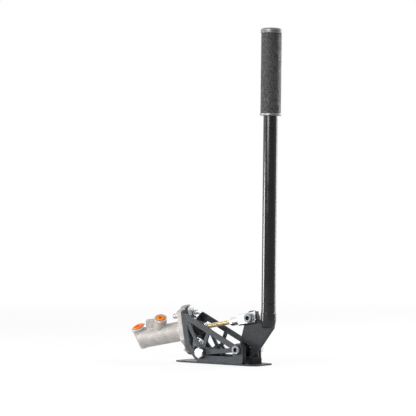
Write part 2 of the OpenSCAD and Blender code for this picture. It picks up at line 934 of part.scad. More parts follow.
module tube_socket() {
    color("black")
        difference() {
            union() {
                in_lever_frame(0) cylinder(d1 = foot_d, d2 = collar_d, h = foot_l);
                in_lever_frame(foot_l) cylinder(d = collar_d, h = collar_l - foot_l);
                in_lever_frame(collar_l) cylinder(d = tube_d, h = stub_l);
                in_lever_frame(tube_start) cylinder(d = spigot_d, h = spigot_l);
            }
            plate_across(-lever_t / 2 - run_gap, lever_t + 2 * run_gap)
                translate(socket_foot - [collar_d, collar_d])
                    square([2 * collar_d, collar_d + slot_depth]);
        }
}

module lever_tube() {
    color("black")
        in_lever_frame(tube_start)
            linear_extrude(tube_l)
                ring(tube_d, tube_d - 2 * tube_wall);
}

module grip_sleeve() {
    color("darkslategray")
        in_lever_frame(grip_start)
            linear_extrude(grip_l)
                ring(grip_d, tube_d + 2 * hole_gap);
}

module grip_lower_ring() {
    color("silver")
        in_lever_frame(grip_start - lower_ring_h)
            linear_extrude(lower_ring_h)
                ring(grip_ring_d, tube_d + 2 * hole_gap);
}

// The upper ring has a groove round its waist.
module grip_upper_ring() {
    waist = upper_ring_h / 5;
    color("silver")
        in_lever_frame(tube_end - upper_ring_h)
            difference() {
                linear_extrude(upper_ring_h) ring(grip_ring_d, tube_d + 2 * hole_gap);
                translate([0, 0, upper_ring_h / 3])
                    linear_extrude(waist)
                        ring(grip_ring_d + cut, grip_d);
            }
}

module grip_end_cap() {
    plug_l = 4 * cap_h;
    color("dimgray") {
        in_lever_frame(tube_end) cylinder(d1 = grip_ring_d - cap_h, d2 = grip_ring_d - 4 * cap_h, h = cap_h);
        in_lever_frame(tube_end - plug_l) cylinder(d = spigot_d, h = plug_l);
    }
}

edge_round = 1.3;
pin_along = mount_reach;
fork_rear = pin_along - fork_l;
neck_rear = fork_rear - neck_l;
jam_rear = neck_rear - jam_nut_h;

module clevis() {
    corner_d = clevis_w / cos(45) - 2 * edge_round;
    color("gainsboro")
        difference() {
            union() {
                intersection() {
                    outline_on_axis(fork_rear, fork_l + fork_nose) square(clevis_w, center = true);
                    turned_on_axis(fork_rear) cylinder(d = corner_d, h = fork_l + fork_nose);
                }
                turned_on_axis(neck_rear) cylinder(d = neck_d, h = neck_l);
            }
            outline_on_axis(pin_along - fork_depth, fork_depth + fork_nose + cut)
                square([clevis_slot, clevis_w + 2 * cut], center = true);
            turned_on_axis(neck_rear - cut) cylinder(d = rod_d + 2 * run_gap, h = neck_l + fork_l - fork_depth + 2 * cut);
            along_y(pin, -clevis_w, clevis_w) circle(d = bolt_d + 2 * run_gap);
        }
}

clevis_nut_face = clevis_w / 2 + washer_t;

module clevis_bolt() {
    color("slategray") socket_screw(pin, -clevis_w / 2 - socket_head_h, clevis_nut_face + nut_h + cut);
}

module clevis_washer() {
    color("gainsboro")
        along_y(pin, clevis_w / 2, clevis_nut_face)
            ring(clevis_w - cut, bolt_d + 2 * hole_gap);
}

module clevis_nut() {
    color("gainsboro")
        along_y(pin, clevis_nut_face, clevis_nut_face + nut_h)
            difference() {
                hexagon(hex_af);
                circle(d = bolt_d + 2 * run_gap);
            }
}

module rod_nut(from, height) {
    color("gainsboro")
        outline_on_axis(from, height)
            difference() {
                hexagon(rod_nut_af);
                circle(d = rod_d + 2 * run_gap);
            }
}

module jam_nut() {
    rod_nut(jam_rear, jam_nut_h);
}

module boot_collar() {
    rod_nut(collar_rear, rod_nut_h);
}

module pushrod() {
    color("goldenrod") {
        turned_on_axis(ball_place) cylinder(d = rod_d, h = pin_along - fork_depth - ball_place);
        turned_on_axis(ball_place) sphere(d = ball_d);
    }
}

base_plate();
lug_right();
lug_left();
side_plate_right();
side_plate_left();
cylinder_bulkhead();
frame_spacers();
tie_bolt();
tie_washers();
tie_nut();
tie_tube();
lever_stop();
pivot_bolt();
pivot_washer();
pivot_nut();
pivot_sleeve();
cylinder_body();
cylinder_studs();
cylinder_washers();
cylinder_outer_nuts();
cylinder_inner_nuts();
inlet_plug();
outlet_plug();
stop_washer();
circlip();
return_spring();
dust_boot();
piston();
primary_seal();
secondary_seal();
lever_plate();
pivot_tube();
pivot_rings();
pivot_bushes();
ear_bush();
tube_socket();
lever_tube();
grip_sleeve();
grip_lower_ring();
grip_upper_ring();
grip_end_cap();
clevis();
clevis_bolt();
clevis_washer();
clevis_nut();
jam_nut();
pushrod();
boot_collar();
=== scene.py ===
# %% [markdown]
# # An upright hydraulic handbrake
# A tall lever on a truss frame pushes the piston of a cast master cylinder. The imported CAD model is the
# fixed frame: it says where every piece is and what it moves with. This lesson gives each piece its
# surface, either by finishing the CAD solid or by working out a finer surface with numpy that stands for
# it.

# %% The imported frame
from math import cos, pi, radians, sin, tan

import bmesh
import bpy
import numpy as np
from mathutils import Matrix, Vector


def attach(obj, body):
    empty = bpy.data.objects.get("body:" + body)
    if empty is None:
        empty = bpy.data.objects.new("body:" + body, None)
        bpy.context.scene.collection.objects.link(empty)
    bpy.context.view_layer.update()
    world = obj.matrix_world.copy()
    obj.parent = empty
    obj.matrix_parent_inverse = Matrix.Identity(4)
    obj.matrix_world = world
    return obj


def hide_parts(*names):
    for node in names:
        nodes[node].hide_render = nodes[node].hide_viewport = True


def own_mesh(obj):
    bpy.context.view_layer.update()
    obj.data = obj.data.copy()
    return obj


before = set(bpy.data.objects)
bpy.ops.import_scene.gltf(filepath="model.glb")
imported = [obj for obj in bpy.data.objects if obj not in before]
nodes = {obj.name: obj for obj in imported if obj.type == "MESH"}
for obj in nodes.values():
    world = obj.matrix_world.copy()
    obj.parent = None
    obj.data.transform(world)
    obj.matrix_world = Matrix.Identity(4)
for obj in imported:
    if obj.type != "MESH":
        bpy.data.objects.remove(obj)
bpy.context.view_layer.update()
print("nodes in the frame:", len(nodes))

# %% [markdown]
# ## The camera
# The object was seen from a long way off with a long lens, level with the middle of the lever. A camera can
# be aimed by a constraint, but a level one keeps the lever's sides parallel. Then only its turn round the
# object, its distance, its lens and its step aside have to be found, so they are plain numbers here.

# %% Camera
VIEW_TURN = radians(38.5)
VIEW_DISTANCE = 3.5
VIEW_ASIDE = 0.10467
VIEW_MIDDLE = Vector((0.099, 0, 0.2735))
VIEW_LENS = 175.07
VIEW_SENSOR = 36
VIEW_FAR = 50
view_dir = Vector((-sin(VIEW_TURN), cos(VIEW_TURN), 0))
view_right = Vector((cos(VIEW_TURN), sin(VIEW_TURN), 0))


def linked(name, data):
    """A new object at the origin, put into the scene."""
    made = bpy.data.objects.new(name, data)
    bpy.context.scene.collection.objects.link(made)
    return made


camera_data = bpy.data.cameras.new("camera")
camera_data.sensor_width = VIEW_SENSOR
camera_data.lens = VIEW_LENS
camera_data.clip_end = VIEW_FAR
camera = linked("camera", camera_data)
camera.location = VIEW_MIDDLE - VIEW_DISTANCE * view_dir - VIEW_ASIDE * view_right
camera.rotation_euler = (radians(90), 0, VIEW_TURN)
bpy.context.scene.camera = camera
bpy.context.scene.view_settings.view_transform = "Standard"
print("camera at", [round(c, 3) for c in camera.location])

# %% [markdown]
# ## Shader sums in Python
# A material's mask is a small sum, such as one minus a noise. Wiring Math nodes by hand hides that sum, so
# a class wraps a socket: the ordinary operators add the nodes, and one method adds any other kind of node.


# %% Wires
def plug(tree, socket, value):
    """Links a wire into a socket, or sets the socket to a plain value."""
    if isinstance(value, Wire):
        tree.links.new(value.socket, socket)
    else:
        socket.default_value = value


class Wire:
    """A shader socket on which Python's operators add Math nodes."""

    def __init__(self, tree, socket):
        self.tree = tree
        self.socket = socket

    def node(self, kind, settings=None, inputs=None, output=0):
        """Adds a node: its settings are set first, then its sockets get values or links."""
        made = self.tree.nodes.new(kind)
        for name, value in (settings or {}).items():
            setattr(made, name, value)
        for name, value in (inputs or {}).items():
            plug(self.tree, made.inputs[name], value)
        return Wire(self.tree, made.outputs[output])

    def math(self, operation, first, second):
        return self.node("ShaderNodeMath", {"operation": operation}, {0: first, 1: second})

    def __add__(self, other):
        return self.math("ADD", self, other)

    def __radd__(self, other):
        return self.math("ADD", other, self)

    def __sub__(self, other):
        return self.math("SUBTRACT", self, other)

    def __rsub__(self, other):
        return self.math("SUBTRACT", other, self)

    def __mul__(self, other):
        return self.math("MULTIPLY", self, other)

    def __rmul__(self, other):
        return self.math("MULTIPLY", other, self)

    def clamped(self, low, high):
        """0 below low, 1 above high, and a smooth rise between."""
        inputs = {"Value": self, "From Min": low, "From Max": high}
        return self.node("ShaderNodeMapRange", {"interpolation_type": "SMOOTHSTEP"}, inputs)

    def vector_math(self, operation, inputs):
        """A number worked out from vectors, such as a dot product or a length."""
        return self.node("ShaderNodeVectorMath", {"operation": operation}, inputs, "Value")


# %% [markdown]
# ## Finishes
# Every finish here is noise in the object's own space, which has no seams and needs no unwrapping. A noise
# that mixes two colours gives the tone, and a noise read as a height gives the relief.


# %% Finish helpers
def noise(place, scale, detail=3, roughness=0.5):
    """Noise from 0 to 1, with scale blots in a metre."""
    inputs = {"Vector": place, "Scale": scale, "Detail": detail, "Roughness": roughness}
    return place.node("ShaderNodeTexNoise", None, inputs, "Fac")


def mixed(factor, first, second):
    """A colour that runs from first to second as factor runs from 0 to 1."""
    return factor.node("ShaderNodeMix", {"data_type": "RGBA"}, {0: factor, 6: first, 7: second}, 2)


def relief(height, depth, strength):
    """A normal that follows a height from 0 to 1, depth metres deep."""
    inputs = {"Strength": strength, "Distance": depth, "Height": height}
    return height.node("ShaderNodeBump", None, inputs, "Normal")


def new_finish(name):
    """A new material, and the wire of its object coordinates."""
    material = bpy.data.materials.new(name)
    material.use_nodes = True
    coordinates = material.node_tree.nodes.new("ShaderNodeTexCoord")
    return material, Wire(material.node_tree, coordinates.outputs["Object"])


def set_shader(material, values):
    """Plugs values or wires into the sockets of a material's Principled shader."""
    shader = material.node_tree.nodes["Principled BSDF"]
    for name, value in values.items():
        plug(material.node_tree, shader.inputs[name], value)
    return material


# %% [markdown]
# ## Paints
# The frame is powder coated: the powder melts into a fine pebbled skin, so the coat is satin and slightly
# uneven. The base plate's coat has flowed out smoother, and the stop's is dull and nearly black, which is
# painted shade for the dark space between the lug and the base. All of them are one recipe, a dark colour
# in two tones with a fine height and a little pale dust on it. The lever's tube is wet-painted black and
# much glossier, with only the faint ripple that brushed or sprayed paint keeps.

# %% Paint finishes
DUST = (0.22, 0.23, 0.25, 1)


def powder_coat(name, colour, lighter, rough, depth, shine=0.28):
    """A coat in two tones, which pebbles, mottle and cloud mix, under a thin dust."""
    material, place = new_finish(name)
    pebbles = noise(place, scale=1300, detail=2)
    mottle = noise(place, scale=380, detail=2)
    cloud = noise(place, scale=70, detail=3)
    dust = noise(place, scale=4200, detail=1).clamped(0.62, 0.74)
    tone = (pebbles * 0.2 + mottle * 0.5 + cloud * 0.3).clamped(0.38, 0.62)
    return set_shader(
        material,
        {
            "Base Color": mixed(dust * 0.25, mixed(tone, colour, lighter), DUST),
            "Roughness": rough + cloud * 0.12,
            "Specular IOR Level": shine,
            "Normal": relief(pebbles, depth, strength=0.5),
        },
    )


frame_coat = powder_coat(
    "frame_powder_coat", (0.038, 0.044, 0.050, 1), (0.068, 0.077, 0.087, 1), rough=0.46, depth=0.00018
)
base_coat = powder_coat(
    "base_powder_coat", (0.036, 0.039, 0.043, 1), (0.060, 0.064, 0.070, 1), rough=0.25, depth=0.00004
)
lever_coat = powder_coat(
    "lever_powder_coat", (0.015, 0.016, 0.019, 1), (0.031, 0.033, 0.038, 1), rough=0.46, depth=0.00018
)
# The stop's near-black colour is painted shade.
stop_painted_shade_coat = powder_coat(
    "stop_powder_coat_painted_shade", (0.008, 0.008, 0.009, 1), (0.014, 0.014, 0.016, 1), rough=0.7, depth=0.00018,
    shine=0.1,
)
tube_enamel, place = new_finish("tube_enamel")
peel = noise(place, scale=260, detail=2)
smear = noise(place, scale=45, detail=4).clamped(0.42, 0.66)
set_shader(
    tube_enamel,
    {
        "Base Color": mixed(smear, (0.006, 0.006, 0.0065, 1), (0.0084, 0.0084, 0.0091, 1)),
        "Roughness": 0.17 + smear * 0.05,
        "IOR": 1.52,
        "Normal": relief(peel, depth=0.000002, strength=0.3),
    },
)
print("paint finishes: 5")

# %% [markdown]
# ## Metals
# The fasteners and the clevis are zinc plated, the socket screws are darker steel, and the pushrod has a
# yellow passivation. A turned or plated metal is never one even tone: its roughness drifts, and fine marks
# cross it. One recipe with two tones and a grain serves them all, so they stay a family.


# %% Metal finishes
def plated(name, colour, darker, rough, grain):
    """A metal in two tones, which stains and fine marks mix, rougher where it is darker."""
    material, place = new_finish(name)
    stain = noise(place, scale=160, detail=4, roughness=0.6)
    marks = noise(place, scale=grain, detail=2)
    clean = (stain * 0.7 + marks * 0.3).clamped(0.38, 0.62)
    return set_shader(
        material,
        {
            "Base Color": mixed(clean, darker, colour),
            "Metallic": 1.0,
            "Roughness": rough + (1 - clean) * 0.14,
            "Normal": relief(marks, depth=0.00005, strength=0.35),
        },
    )


bright_zinc = plated("bright_zinc", (0.86, 0.87, 0.89, 1), (0.70, 0.72, 0.75, 1), rough=0.2, grain=900)
screw_steel = plated("screw_steel", (0.60, 0.61, 0.63, 1), (0.42, 0.43, 0.45, 1), rough=0.32, grain=1400)
dark_steel = plated("dark_steel", (0.28, 0.29, 0.31, 1), (0.17, 0.18, 0.19, 1), rough=0.36, grain=1400)
# Near black for the tie washers and the socket cups, where it is partly painted shade.
black_oxide = plated(
    "black_oxide", (0.075, 0.077, 0.082, 1), (0.040, 0.041, 0.044, 1), rough=0.42, grain=1200
)
yellow_zinc = plated("yellow_zinc", (0.94, 0.81, 0.54, 1), (0.82, 0.66, 0.38, 1), rough=0.26, grain=1100)
bronze = plated("bronze", (0.42, 0.26, 0.14, 1), (0.24, 0.13, 0.06, 1), rough=0.4, grain=1700)
ring_metal = plated("ring_metal", (0.31, 0.31, 0.32, 1), (0.21, 0.21, 0.22, 1), rough=0.4, grain=1500)
print("metal finishes: 7")

# %% [markdown]
# ## Cast aluminium
# A sand casting that was blasted: the skin is grainy at about half a millimetre, with a few larger pits,
# and the tone drifts between a warm grey and a lighter one. It is only partly metallic, because a blasted
# skin scatters light much as stone does. Machined faces on it are brighter and smoother.

# %% Aluminium finishes
PIT_GREY = (0.24, 0.222, 0.207, 1)
WARM_GREY = (0.41, 0.385, 0.365, 1)
PALE_GREY = (0.50, 0.475, 0.455, 1)
cast_aluminium, place = new_finish("cast_aluminium")
sand = noise(place, scale=1500, detail=3, roughness=0.6)
pits = noise(place, scale=520, detail=2).clamped(0.30, 0.44)
drift = noise(place, scale=55, detail=4).clamped(0.36, 0.66)
set_shader(
    cast_aluminium,
    {
        "Base Color": mixed(pits, PIT_GREY, mixed(drift, WARM_GREY, PALE_GREY)),
        "Metallic": 0.4,
        "Roughness": 0.5 + sand * 0.18,
        "Normal": relief(sand * 0.6 + pits * 0.4, depth=0.0004, strength=0.55),
    },
)
machined_aluminium = plated(
    "machined_aluminium", (0.70, 0.69, 0.68, 1), (0.56, 0.55, 0.54, 1), rough=0.34, grain=1900
)
print("aluminium finishes: 2")

# %% [markdown]
# ## Rubber and plastics
# The boot and the seals are moulded rubber, the plugs are bright moulded plastic, and the grip is a sleeve
# whose skin is mottled by cells and fine specks. Moulded pieces are even, so two close tones and a fine
# skin do.


# %% Rubber and plastic finishes
def moulded(name, colour, lighter, rough, grain, depth):
    """A moulded skin in two close tones, which a faint bloom mixes."""
    material, place = new_finish(name)
    skin = noise(place, scale=grain, detail=3, roughness=0.6)
    bloom = noise(place, scale=90, detail=3).clamped(0.40, 0.66)
    return set_shader(
        material,
        {
            "Base Color": mixed(bloom, colour, lighter),
            "Roughness": rough + skin * 0.16,
            "Normal": relief(skin, depth, strength=0.5),
        },
    )


black_rubber = moulded(
    "black_rubber", (0.018, 0.017, 0.017, 1), (0.034, 0.033, 0.033, 1), rough=0.56, grain=1600, depth=0.00012
)
inlet_orange = moulded(
    "inlet_orange", (0.90, 0.235, 0.002, 1), (0.94, 0.29, 0.006, 1), rough=0.5, grain=1400, depth=0.00005
)
outlet_orange = moulded(
    "outlet_orange", (0.90, 0.19, 0.016, 1), (0.95, 0.26, 0.035, 1), rough=0.45, grain=1400, depth=0.00005
)
grip_skin, place = new_finish("grip_skin")
cells = noise(place, scale=270, detail=3, roughness=0.6).clamped(0.40, 0.58)
specks = noise(place, scale=900, detail=2).clamped(0.36, 0.64)
mottle = cells * 0.6 + specks * 0.4
set_shader(
    grip_skin,
    {
        "Base Color": mixed(mottle, (0.006, 0.006, 0.006, 1), (0.062, 0.059, 0.057, 1)),
        "Roughness": 0.36 + specks * 0.14,
        "Normal": relief(mottle, depth=0.0007, strength=0.8),
    },
)
print("rubber and plastic finishes: 4")

# %% [markdown]
# ## Finishes of the CAD nodes
# A CAD solid whose shape is right stays as it is, and only takes its finish. Each finish lists its nodes.
# Nodes that a finer piece stands for are listed too, so that no solid keeps a plain grey.

# %% Dress the CAD nodes
DRESSED = [
    (base_coat, "base_plate"),
    (frame_coat, "lug_right lug_left side_plate_right side_plate_left"),
    (frame_coat, "cylinder_bulkhead frame_spacers tie_tube"),
    (lever_coat, "lever_plate"),
    (stop_painted_shade_coat, "lever_stop"),
    (tube_enamel, "tube_socket lever_tube pivot_tube pivot_rings"),
    (black_oxide, "tie_washers"),
    (bright_zinc, "tie_bolt tie_nut pivot_washer pivot_nut cylinder_studs cylinder_washers"),
    (bright_zinc, "cylinder_outer_nuts cylinder_inner_nuts clevis clevis_washer clevis_nut"),
    (bright_zinc, "jam_nut boot_collar"),
    (screw_steel, "pivot_sleeve stop_washer circlip return_spring piston"),
    (dark_steel, "clevis_bolt pivot_bolt"),
    (cast_aluminium, "cylinder_body"),
    (yellow_zinc, "pushrod"),
    (bronze, "pivot_bushes ear_bush"),
    (black_rubber, "dust_boot primary_seal secondary_seal"),
    (inlet_orange, "inlet_plug"),
    (outlet_orange, "outlet_plug"),
    (grip_skin, "grip_sleeve"),
    (ring_metal, "grip_lower_ring grip_upper_ring grip_end_cap"),
]
for finish, names in DRESSED:
    for name in names.split():
        nodes[name].data.materials.clear()
        nodes[name].data.materials.append(finish)
print("dressed nodes:", sum(len(names.split()) for finish, names in DRESSED))

# %% [markdown]
# ## Surfaces from arrays
# A turned or swept piece is a grid of points: one index runs along a profile and the other runs round.
# Blender's spin tool would do the same by hand, but an array keeps the formula in sight. The points are
# worked out in millimetres in the piece's own frame, then turned and moved to where the CAD says the piece
# sits.


# %% Turns and grids
MM = 0.001
SAME_POINT = 2e-6


def about_x(angle):
    """The turn about X by an angle in degrees."""
    c, s = cos(radians(angle)), sin(radians(angle))
    return np.array([[1, 0, 0], [0, c, -s], [0, s, c]])


def about_y(angle):
    """The turn about Y by an angle in degrees."""
    c, s = cos(radians(angle)), sin(radians(angle))
    return np.array([[c, 0, s], [0, 1, 0], [-s, 0, c]])


def placed(points, origin, turn):
    """Points of a piece's own frame, turned and then moved to the piece's place."""
    return points @ turn.T + np.array(origin)


def grid_faces(rows, columns, loop):
    """Index quads of a grid that closes round its columns, and over its rows too if loop is set."""
    i = np.arange(rows if loop else rows - 1)[:, None]
    j = np.arange(columns)[None, :]
    down, right = (i + 1) % rows, (j + 1) % columns
    corners = [i * columns + j, i * columns + right, down * columns + right, down * columns + j]
    return np.stack(np.broadcast_arrays(*corners), axis=-1).reshape(-1, 4)


def smooth_shaded(mesh, sharp):
    """Shades a mesh smoothly, except at edges that turn by more than the sharp angle in degrees."""
    mesh.polygons.foreach_set("use_smooth", np.ones(len(mesh.polygons), bool))
    mesh.set_sharp_from_angle(angle=radians(sharp))


def tidy_mesh(mesh, sharp):
    """Closes seams and poles, points the faces outwards and shades smoothly below the sharp angle."""
    shape = bmesh.new()
    shape.from_mesh(mesh)
    bmesh.ops.remove_doubles(shape, verts=shape.verts, dist=SAME_POINT)
    bmesh.ops.recalc_face_normals(shape, faces=shape.faces)
    shape.to_mesh(mesh)
    shape.free()
    smooth_shaded(mesh, sharp)


# %% [markdown]
# ## Pieces and profiles
# A piece says which body it moves with, which material slot it belongs to and which CAD node it stands for.
# Its profile is a short list of corners. Real corners are never sharp, so one helper rounds them, and
# another puts a point close to each end of a long side, because smooth shading would otherwise bend the
# whole side.


# %% Piece and profile helpers
def on_body(piece, body, stands_for=()):
    """Ties a piece to its body and hides the CAD nodes that it stands for."""
    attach(piece, body)
    for node in stands_for:
        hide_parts(node)


def add_piece(name, grids, body, finish, stands_for=(), loop=False, sharp=35):
    """One object of one or more grids of points in millimetres, which rides on a body."""
    points, faces, first = [], [], 0
    for grid in grids:
        rows, columns = grid.shape[:2]
        points.append(grid.reshape(-1, 3) * MM)
        faces.append(grid_faces(rows, columns, loop) + first)
        first += rows * columns
    mesh = bpy.data.meshes.new(name)
    mesh.from_pydata(np.concatenate(points).tolist(), [], np.concatenate(faces).tolist())
    tidy_mesh(mesh, sharp)
    mesh.materials.append(finish)
    piece = linked(name, mesh)
    on_body(piece, body, stands_for)
    print(name, "has", len(mesh.polygons), "faces")
    return piece


def turned(node, grids, body, finish, loop=False, sharp=30):
    """A turned piece that is named for the one CAD node it stands for."""
    return add_piece(node + "_turned", grids, body, finish, [node], loop, sharp)


def held(profile, reach=0.3):
    """A profile with a point close to both ends of each side that is longer than a millimetre."""
    step = np.diff(profile, axis=0)
    length = np.linalg.norm(step, axis=1, keepdims=True)
    is_long = length[:, 0] > 1
    near = profile[:-1] + step * reach / length
    far = profile[1:] - step * reach / length
    keep = np.stack([np.ones(len(step), bool), is_long, is_long], axis=1)
    return np.concatenate([np.stack([profile[:-1], near, far], axis=1)[keep], profile[-1:]])


def rounded(profile, radius, steps=4):
    """A profile whose inner corners are quadratic curves that start radius before each corner."""
    p = np.array(profile, float)
    before, after = p[:-2] - p[1:-1], p[2:] - p[1:-1]
    lengths = [np.linalg.norm(side, axis=1, keepdims=True) for side in (before, after)]
    reach = [np.minimum(radius, 0.45 * length) / length for length in lengths]
    start, end = p[1:-1] + before * reach[0], p[1:-1] + after * reach[1]
    t = np.linspace(0, 1, steps)[None, :, None]
    curve = (1 - t) ** 2 * start[:, None] + 2 * t * (1 - t) * p[1:-1, None] + t**2 * end[:, None]
    return held(np.concatenate([p[:1], curve.reshape(-1, 2), p[-1:]]))


def lathe(profile, steps=64):
    """Radius and height points carried round the axis: x = r cos a, y = r sin a, z = h."""
    angle = np.linspace(0, 2 * pi, steps, endpoint=False)
    r, h = np.array(profile)[:, :1], np.array(profile)[:, 1:]
    return np.stack([r * np.cos(angle), r * np.sin(angle), h + 0 * angle], axis=-1)


# %% [markdown]
# ## Where the pieces sit
# The side view's main points and the directions that pieces lie along: across the frame, along the
# cylinder, up the lever, and out of the two ports. They repeat the CAD's sizes, in millimetres and degrees,
# because a piece that is worked out in its own frame has to land on the solid that it stands for.

# %% Places
PIVOT = (52.0, 27.5)
TIE = (-28.5, 19.0)
PIN = (65.5, 82.5)
CYL_TILT = 10.3
MOUNT_REACH = 138.0
LEVER_FOOT = (98.5, 67.5)
LEVER_LEAN = 0.8
INLET_ROLL = 31.5
OUTLET_ROLL = 26.5
INLET_LEAN = 29.0

ACROSS = about_x(-90)
AXIS_FRAME = about_y(-CYL_TILT)
ON_AXIS = AXIS_FRAME @ about_y(90)
UP_LEVER = about_y(LEVER_LEAN)
OUTLET = AXIS_FRAME @ about_x(OUTLET_ROLL)
INLET = AXIS_FRAME @ about_x(INLET_ROLL) @ about_y(INLET_LEAN)
axis_dir = AXIS_FRAME[:, 0]
axis_up = AXIS_FRAME[:, 2]
mount_face = np.array([PIN[0], 0, PIN[1]]) - MOUNT_REACH * axis_dir


def on_axis(along, up=0.0):
    """A point on the cylinder's axis, or beside it, measured forwards from the mounting face."""
    return mount_face + along * axis_dir + up * axis_up


def on_lever(profile, steps):
    """A profile carried round the lever's own line, its heights measured from the foot of the socket."""
    return placed(lathe(profile, steps), (LEVER_FOOT[0], 0, LEVER_FOOT[1]), UP_LEVER)


print("mounting face at", np.round(mount_face, 1))

# %% [markdown]
# ## Eased plates
# Laser-cut plate has no knife edges once it is tumbled and coated. A merged copy of each plate's solid
# takes a small bevel, so that the edges catch the light as coated steel does. Building the plates anew
# would only repeat the CAD's outlines, so the copy stands for the solid.

# %% Eased copies of the plates
PLATE_EASE = 0.45
LEVER_EASE = 0.6
CLEVIS_EASE = 0.5
FLAT_ANGLE = 0.3
EDGE_ANGLE = 30


def eased_copy(node, body, finish, width):
    """A merged copy of a CAD solid with its sharp edges rounded by a bevel of that width in millimetres."""
    mesh = nodes[node].data.copy()
    shape = bmesh.new()
    shape.from_mesh(mesh)
    bmesh.ops.remove_doubles(shape, verts=shape.verts, dist=SAME_POINT)
    bmesh.ops.dissolve_limit(shape, angle_limit=radians(FLAT_ANGLE), verts=shape.verts, edges=shape.edges)
    shape.to_mesh(mesh)
    shape.free()
    mesh.materials.clear()
    mesh.materials.append(finish)
    smooth_shaded(mesh, EDGE_ANGLE)
    piece = linked(node + "_eased", mesh)
    bevel = piece.modifiers.new("eased_edges", "BEVEL")
    bevel.width = width * MM
    bevel.segments = 2
    bevel.limit_method = "ANGLE"
    bevel.angle_limit = radians(EDGE_ANGLE)
    bevel.harden_normals = True
    on_body(piece, body, [node])


for name in "lug_right lug_left side_plate_right side_plate_left cylinder_bulkhead".split():
    eased_copy(name, "frame", frame_coat, PLATE_EASE)
eased_copy("base_plate", "frame", base_coat, PLATE_EASE)
eased_copy("lever_stop", "frame", stop_painted_shade_coat, PLATE_EASE)
eased_copy("lever_plate", "lever", lever_coat, LEVER_EASE)
eased_copy("clevis", "pushrod", bright_zinc, CLEVIS_EASE)
print("eased plates: 9")

# %% [markdown]
# ## Hexagons
# Bolt heads and nuts are pressed hexagons with turned ends. A hexagon is a circle whose radius depends on
# the angle, and the turned chamfer takes more off the corners than off the flats. Cutting a prism with a
# cone would give the same shape, but slower and with ragged faces.


# %% Hexagons
CHAMFER_SHARE = 0.47
CHAMFER_SLOPE = tan(radians(30))
SINK = 0.5
SINK_DEPTH = 0.6


def hex_radius(angle, flats):
    """The distance from the middle of a hexagon to its edge, with corners at angle 0 and every 60 degrees."""
    return flats / 2 / np.cos(angle % (pi / 3) - pi / 6)


def ring_rows(angle, rows):
    """A grid from rows of radius and height, where each of them is a number or an array over the angle."""
    radius = np.stack([np.broadcast_to(r, angle.shape) for r, h in rows])
    height = np.stack([np.broadcast_to(h, angle.shape) for r, h in rows])
    return np.stack([radius * np.cos(angle), radius * np.sin(angle), height], axis=-1)


def chamfered_hexagon(flats):
    """Angles round a hexagon, its edge, the chamfer's round and how far the chamfer falls at the edge."""
    angle = np.linspace(0, 2 * pi, 72, endpoint=False)
    edge = hex_radius(angle, flats)
    round_r = CHAMFER_SHARE * flats
    return angle, edge, round_r, np.maximum(edge - round_r, 0) * CHAMFER_SLOPE


def hex_head(flats, low, high):
    """A bolt head from low to high, with a turned chamfer on its outer end at low."""
    angle, edge, round_r, drop = chamfered_hexagon(flats)
    top = [(0, low), (round_r * 0.9, low), (np.minimum(edge, round_r), low)]
    return ring_rows(angle, top + [(edge, low + drop), (edge, high), (0, high)])


def hex_nut(flats, bore, low, high):
    """A nut from low to high, chamfered at both ends, with a countersunk bore. Its rows close in a loop."""
    angle, edge, round_r, drop = chamfered_hexagon(flats)
    bore_r = bore / 2
    rear = [(bore_r, low + SINK_DEPTH), (bore_r + SINK, low), (round_r, low), (edge, low + drop)]
    front = [(edge, high - drop), (round_r, high), (bore_r + SINK, high), (bore_r, high - SINK_DEPTH)]
    return ring_rows(angle, rear + front)


# %% [markdown]
# ## Threads and washers
# A thread is a radius that depends on height and angle together: one turn round climbs one pitch. It fades
# out at both ends, as a cut thread does. A washer is stamped, so its rims are slightly rounded.


# %% Threads and washers
THREAD_DEEP = 0.6
THREAD_HOLLOW = 1.3
ROWS_A_PITCH = 8
TIP_RUN = 1.2
TIP_DROP = 0.8
WASHER_EASE = 0.25


def threaded(diameter, pitch, low, high, steps=32):
    """A threaded rod from low to high: the radius is a ridge that climbs one pitch in each turn round."""
    rows = int((high - low) / pitch * ROWS_A_PITCH)
    angle = np.linspace(0, 2 * pi, steps, endpoint=False)
    height = np.linspace(low, high, rows)[:, None]
    phase = (height / pitch - angle / (2 * pi)) % 1
    tip = np.clip(np.minimum(height - low, high - height) / TIP_RUN, 0, 1)
    groove = THREAD_DEEP * pitch * np.abs(2 * phase - 1) ** THREAD_HOLLOW
    radius = diameter / 2 - groove * tip - TIP_DROP * (1 - tip)
    wall = np.stack([radius * np.cos(angle), radius * np.sin(angle), height + 0 * angle], axis=-1)
    middle = np.zeros((1, steps, 3))
    return np.concatenate([middle + [0, 0, low], wall, middle + [0, 0, high]])


def washer(outer, bore, low, high):
    """A washer from low to high with slightly rounded rims. Its rows close in a loop."""
    bore_r, outer_r, flat_r = bore / 2, outer / 2, outer / 2 - WASHER_EASE
    rear = [(bore_r, low), (flat_r, low), (outer_r, low + WASHER_EASE)]
    front = [(outer_r, high - WASHER_EASE), (flat_r, high), (bore_r, high)]
    return lathe(rear + front)


# %% [markdown]
# ## Tie bolt
# A zinc-plated hexagon bolt ties the two side plates together low in the truss, with a near-black washer
# under its head and under its nut, whose near-black is partly its own colour and partly painted shade round
# the head. Head and shank are two grids of one piece, because on the real bolt they are one forging.

# %% Tie bolt, nut and washers
PLATE_OUT = 27.0
BOLT_D = 10.0
BOLT_PITCH = 1.5
BOLT_TIP = 1
HEX_FLATS = 17.0
WASHER_D = 21.0
WASHER_T = 2.0
NUT_H = 8.0
HEAD_H = 6.4
TIE_AT = (TIE[0], 0, TIE[1])
nut_low = PLATE_OUT + WASHER_T
FLAT_UP = np.array([[cos(pi / 6), -sin(pi / 6), 0], [sin(pi / 6), cos(pi / 6), 0], [0, 0, 1]])
HEX_TURN = ACROSS @ FLAT_UP


